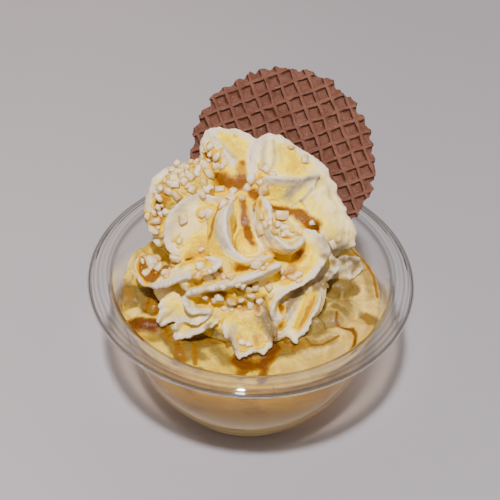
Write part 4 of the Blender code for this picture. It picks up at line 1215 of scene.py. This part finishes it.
def makeNuts(carrier):
    rng = random.Random(21)
    shape = shapeOf(carrier.data)
    pale = []
    toasted = []

    def tryPlace(places, u, v, size, crowd):
        spot, normal = photoHit(shape, u, v)
        if spot is None or spot.z < contents["pool"] + 1:
            return False
        if any((spot - other).length < (size + width) * crowd for other, _, width in pale):
            return False
        places.append((spot, normal, size))
        return True

    for (u, v), size in nuts["singles"]:
        tryPlace(pale, u, v, size, 0.2)
    for (u, v), (du, dv), count, size in nuts["clusters"]:
        for _ in range(count):
            for _ in range(nuts["tries"]):
                if tryPlace(pale, rng.gauss(u, du * nuts["scatter"]), rng.gauss(v, dv * nuts["scatter"]),
                            size * rng.uniform(*nuts["scale"]), nuts["crowd"]):
                    break
    for (u, v), size in nuts["toasted"]:
        tryPlace(toasted, u, v, size, 0.1)
    behind = nuts["behind"]
    for _ in range(behind["count"]):
        heading = math.radians(rng.uniform(*behind["headings"]))
        start = Vector((behind["away"] * math.cos(heading), 5 + behind["away"] * math.sin(heading), 110))
        aim = Vector([rng.uniform(*limits) for limits in behind["aim"]]) - start
        spot, normal, _, _ = shape.ray_cast(start * mm, aim.normalized())
        if spot and spot.z > behind["lowest"] * mm:
            pale.append((spot / mm, normal, rng.uniform(*behind["sizes"])))
    stainCream(carrier.data, pale + toasted)
    shapes = nutShapes()
    scatterNuts("nutsPale", pale, shapes, nutMaterial("nutPale", nuts["pale"]), 31)
    scatterNuts("nutsToasted", toasted, shapes, nutMaterial("nutToasted", nuts["toast"]), 32)
    for chip in shapes:
        bpy.data.objects.remove(chip, do_unlink=True)


def stainCream(mesh, places):
    # sauce gathers round every nut
    rng = random.Random(41)
    points = readPoints(mesh)
    advocaat = readAttribute(mesh, "advocaat")
    caramel = readAttribute(mesh, "caramel")
    wobble = ripple(points, 2.4, 53, 2) * 0.5
    for spot, _, size in places:
        away = np.linalg.norm(points - np.array(spot), axis=1) / size / nuts["wetRing"]
        ring = ease(away + wobble, 1.0, 0.5)
        advocaat = np.maximum(advocaat, ring * rng.uniform(-0.2, 0.9))
        caramel = np.maximum(caramel, ring * rng.uniform(-0.8, 0.6))
    writeAttributes(mesh, advocaat=advocaat, caramel=caramel)


# Wafer

wafer = {
    "radius": 36.4,
    "half": 1.4,                    # half its thickness in mm
    "pitch": 5.5,                   # from ridge to ridge
    "ridge": 0.45,                  # half the width of a ridge's flat top
    "slope": 0.7,                   # how far a cell's wall leans in on its way down
    "depth": 1.1,
    "cuts": 3,
    "rim": (-0.9, 0.9),             # mm the edge stands in between ridges and out at them
    "edgeSteps": 300,
    "edgeChips": 60,
    "chipSizes": (0.45, 1.25),      # how much of the rim's full reach is left at each chip
    "nibbles": (2.2, 0.35),         # size and depth in mm of the finer wear on the edge
    "ridgeReach": 2.3,              # mm either side of a ridge over which the edge stands out
    "relief": [(3.5, 21, 3, 0.26), (1.1, 22, 2, 0.2)],     # size in mm, seed, octaves, height
    "sag": [(30.0, 23, 1, 0.7)],
    "warp": (8.0, (25, 26), 0.5),   # size, seeds and reach in mm of the grid's wandering
    "worn": 0.35,                   # mm that the ridges are worn down in patches
    "sharp": 50,                    # degrees, edges sharper than this aren't shaded smooth
    "centre": (10.1, 38.0, 83.0),
    "lean": 30.0,                   # degrees
    "facing": -15.7,
    "gridTurn": 31.0,
    "shadeAim": (-0.9, -0.45, 0.0), # along the grid, the way that shaded walls face
    "light": (0.152, 0.058, 0.036),
    "dark": (0.098, 0.033, 0.018),
    "shade": (0.065, 0.018, 0.008), # on the walls that face down and left in the photo
    # small pale specks
    "paleSpecks": (0.42, 0.27, 0.19),
}


def waferPlace():
    lean, facing = math.radians(wafer["lean"]), math.radians(wafer["facing"])
    normal = Vector((math.sin(facing) * math.cos(lean), -math.cos(facing) * math.cos(lean), math.sin(lean)))
    level = Vector((0, 0, 1)).cross(normal).normalized()
    up = normal.cross(level)
    turn = math.radians(wafer["gridTurn"])
    across = level * math.cos(turn) + up * math.sin(turn)
    axes = Matrix((across, normal.cross(across), normal)).transposed().to_4x4()
    return Matrix.Translation(Vector(wafer["centre"]) * mm) @ axes


def makeWafer():
    cells = 2 * math.ceil(wafer["radius"] / wafer["pitch"]) + 2
    deselect()
    bpy.ops.mesh.primitive_grid_add(x_subdivisions=cells, y_subdivisions=cells,
                                    size=cells * wafer["pitch"] * mm,
                                    location=(0, 0, wafer["half"] * mm))
    piece = bpy.context.object
    freeze(piece)
    bpy.ops.object.mode_set(mode="EDIT")
    bpy.ops.mesh.select_all(action="SELECT")
    bpy.ops.mesh.inset(thickness=wafer["ridge"] * mm, use_individual=True)
    bpy.ops.mesh.inset(thickness=wafer["slope"] * mm, depth=-wafer["depth"] * mm, use_individual=True)
    bpy.ops.mesh.select_all(action="SELECT")
    bpy.ops.mesh.duplicate()
    bpy.ops.transform.resize(value=(1, 1, -1), center_override=(0, 0, 0))
    bpy.ops.mesh.flip_normals()
    bpy.ops.mesh.select_all(action="DESELECT")
    bpy.ops.mesh.select_non_manifold(extend=False)
    bpy.ops.mesh.bridge_edge_loops()
    bpy.ops.mesh.select_all(action="SELECT")
    bpy.ops.mesh.normals_make_consistent(inside=False)
    bpy.ops.mesh.subdivide(number_cuts=wafer["cuts"])
    bpy.ops.object.mode_set(mode="OBJECT")
    outline = waferOutline()
    modify(piece, "BOOLEAN", operation="INTERSECT", solver="MANIFOLD", object=outline)
    bpy.data.objects.remove(outline, do_unlink=True)
    roughenWafer(piece)
    piece.data.transform(waferPlace())
    piece.data.shade_smooth()
    bpy.ops.object.shade_smooth_by_angle(angle=math.radians(wafer["sharp"]))
    piece.name = piece.data.name = "chocolateWafer"
    return finishPiece(piece, waferMaterial(), ["wafer"])


def waferOutline():
    # the ridges stand out a little where the edge cuts them off
    rng = random.Random(9)
    deselect()
    bpy.ops.mesh.primitive_cylinder_add(vertices=wafer["edgeSteps"], radius=1, depth=8 * mm)
    outline = bpy.context.object
    low, high = wafer["rim"]
    nibble, nibbleDepth = wafer["nibbles"]
    chips = [rng.uniform(*wafer["chipSizes"]) for _ in range(wafer["edgeChips"])]
    for vert in outline.data.vertices:
        heading = math.atan2(vert.co.y, vert.co.x)
        spot = Vector((math.cos(heading), math.sin(heading))) * wafer["radius"]
        away = [abs((a / wafer["pitch"] + 0.5) % 1 - 0.5) * wafer["pitch"] for a in spot]
        stands = max(0, 1 - (min(away) / wafer["ridgeReach"]) ** 2)
        chip = chips[int(heading / math.tau * len(chips)) % len(chips)]
        reach = wafer["radius"] + low + (high - low) * stands * chip
        reach += nibbleDepth * noise.noise(Vector((spot.x, spot.y, 3)) / nibble)
        vert.co.x, vert.co.y = math.cos(heading) * reach * mm, math.sin(heading) * reach * mm
    return outline


def roughenWafer(piece):
    mesh = piece.data
    points = readPoints(mesh)
    normals = readNormals(mesh)
    flat = points * (1, 1, 0)
    ridge = ease(np.abs(points[:, 2]), wafer["half"] - wafer["depth"], wafer["half"])
    worn = ridge * ease(ripple(flat, 9.0, 24), 0.1, 0.7) * wafer["worn"]
    relief = ripples(points, wafer["relief"]) - worn
    moved = points + normals * relief[:, None] + warped(points, *wafer["warp"])
    moved[:, 2] += ripples(flat, wafer["sag"])
    writePoints(mesh, moved)
    aim = Vector(wafer["shadeAim"]).normalized()
    writeAttributes(mesh, ridge=ridge, shade=ease(normals @ np.array(aim), 0.1, 0.5))


def waferMaterial():
    look = Finish("chocolateWafer", Specular_IOR_Level=0.25)
    patch = look.noise(5, 4, 0.6)
    grain = look.noise(0.7, 4, 0.7)
    # ridges a little lighter than the cells: painted light on the ridges, painted shade in the cells
    tone = look.mottled(look.attribute("ridge") * 0.2 + look.step(patch, 0.3, 0.75) * 0.4 + 0.2, (grain, 1.2))
    color = look.mix(look.step(tone, 0.05, 0.95), wafer["dark"], wafer["light"])
    color = look.mix(look.attribute("shade") * 0.85, color, wafer["shade"])
    # small pale specks
    color = look.mix(look.step(look.noise(0.6, 2), 0.66, 0.74) * 0.5, color, wafer["paleSpecks"])
    look.set(Base_Color=color, Roughness=0.5 + grain * 0.25)
    look.bump(grain * 0.7 + look.noise(0.3, 2) * 0.3, 0.3)
    return look.material


# Floor and lights

stageLook = {
    "floor": (0.308, 0.278, 0.292),
    # painted shade: the floor darker towards the right, where less light falls
    "floorShadedRight": (0.260, 0.243, 0.262),
    "skyLow": 0.27,                 # at the horizon
    "skyHigh": 1.0,                 # overhead
    "skyRange": (0.5, 0.95),        # from the horizon, 0.5, to straight up, 1
    "skyTint": (1.0, 0.89, 0.76),
    "lampHeight": 1.1,              # in metres, as the lamps' places and size are
    "lampPower": 5.0,
    "lampSize": 0.022,
    "lampTint": (0.95, 0.96, 1.0),
    "lampAim": (0, 0, 0.05),
    "lamps": [(-0.072, -0.445), (-0.050, -0.429), (-0.028, -0.446), (-0.061, -0.469), (-0.037, -0.467)],
}


def addStage():
    deselect()
    bpy.ops.mesh.primitive_plane_add(size=6)
    floor = bpy.context.object
    floor.name = "floor"
    look = Finish("floor", Roughness=0.55)
    side = look.mottled(look.node("SeparateXYZ", {}, {"Vector": look.coords()}), (look.noise(60, 4), 0.04))
    # painted shade towards the right
    look.set(Base_Color=look.mix(look.step(side, -0.12, 0.10), stageLook["floor"], stageLook["floorShadedRight"]))
    look.bump(look.noise(1.2, 3), 0.02)
    floor.data.materials.append(look.material)


def addLamp(name, place):
    lamp = bpy.data.lights.new(name, "AREA")
    lamp.shape = "DISK"
    lamp.size = stageLook["lampSize"]
    lamp.energy = stageLook["lampPower"]
    lamp.color = stageLook["lampTint"]
    holder = bpy.data.objects.new(name, lamp)
    holder.location = place
    aim = Vector(stageLook["lampAim"]) - Vector(place)
    holder.rotation_euler = aim.to_track_quat("-Z", "Y").to_euler()
    bpy.context.scene.collection.objects.link(holder)


def addLights():
    world = bpy.data.worlds.new("studio")
    world.use_nodes = True
    shadeSky(world.node_tree)
    bpy.context.scene.world = world
    for i, (x, y) in enumerate(stageLook["lamps"]):
        addLamp("lamp%d" % i, (x, y, stageLook["lampHeight"]))


def shadeSky(tree):
    # a plain room: bright overhead, dimmer towards the horizon
    around = makeNode(tree, "TexCoord", output="Generated")
    height = (makeNode(tree, "SeparateXYZ", {}, {0: around}, 2) + 1) * 0.5
    strength = smoothStep(tree, height, stageLook["skyRange"], (stageLook["skyLow"], stageLook["skyHigh"]))
    plug(tree.nodes["Background"].inputs["Color"], stageLook["skyTint"])
    plug(tree.nodes["Background"].inputs["Strength"], strength)


addCamera()
addStage()
addLights()
print("stage, camera and lights are in place")
makeBowl()
makeIceCream()
makePool()
creamPiece = makeCream()
makeNuts(creamPiece)
makeWafer()
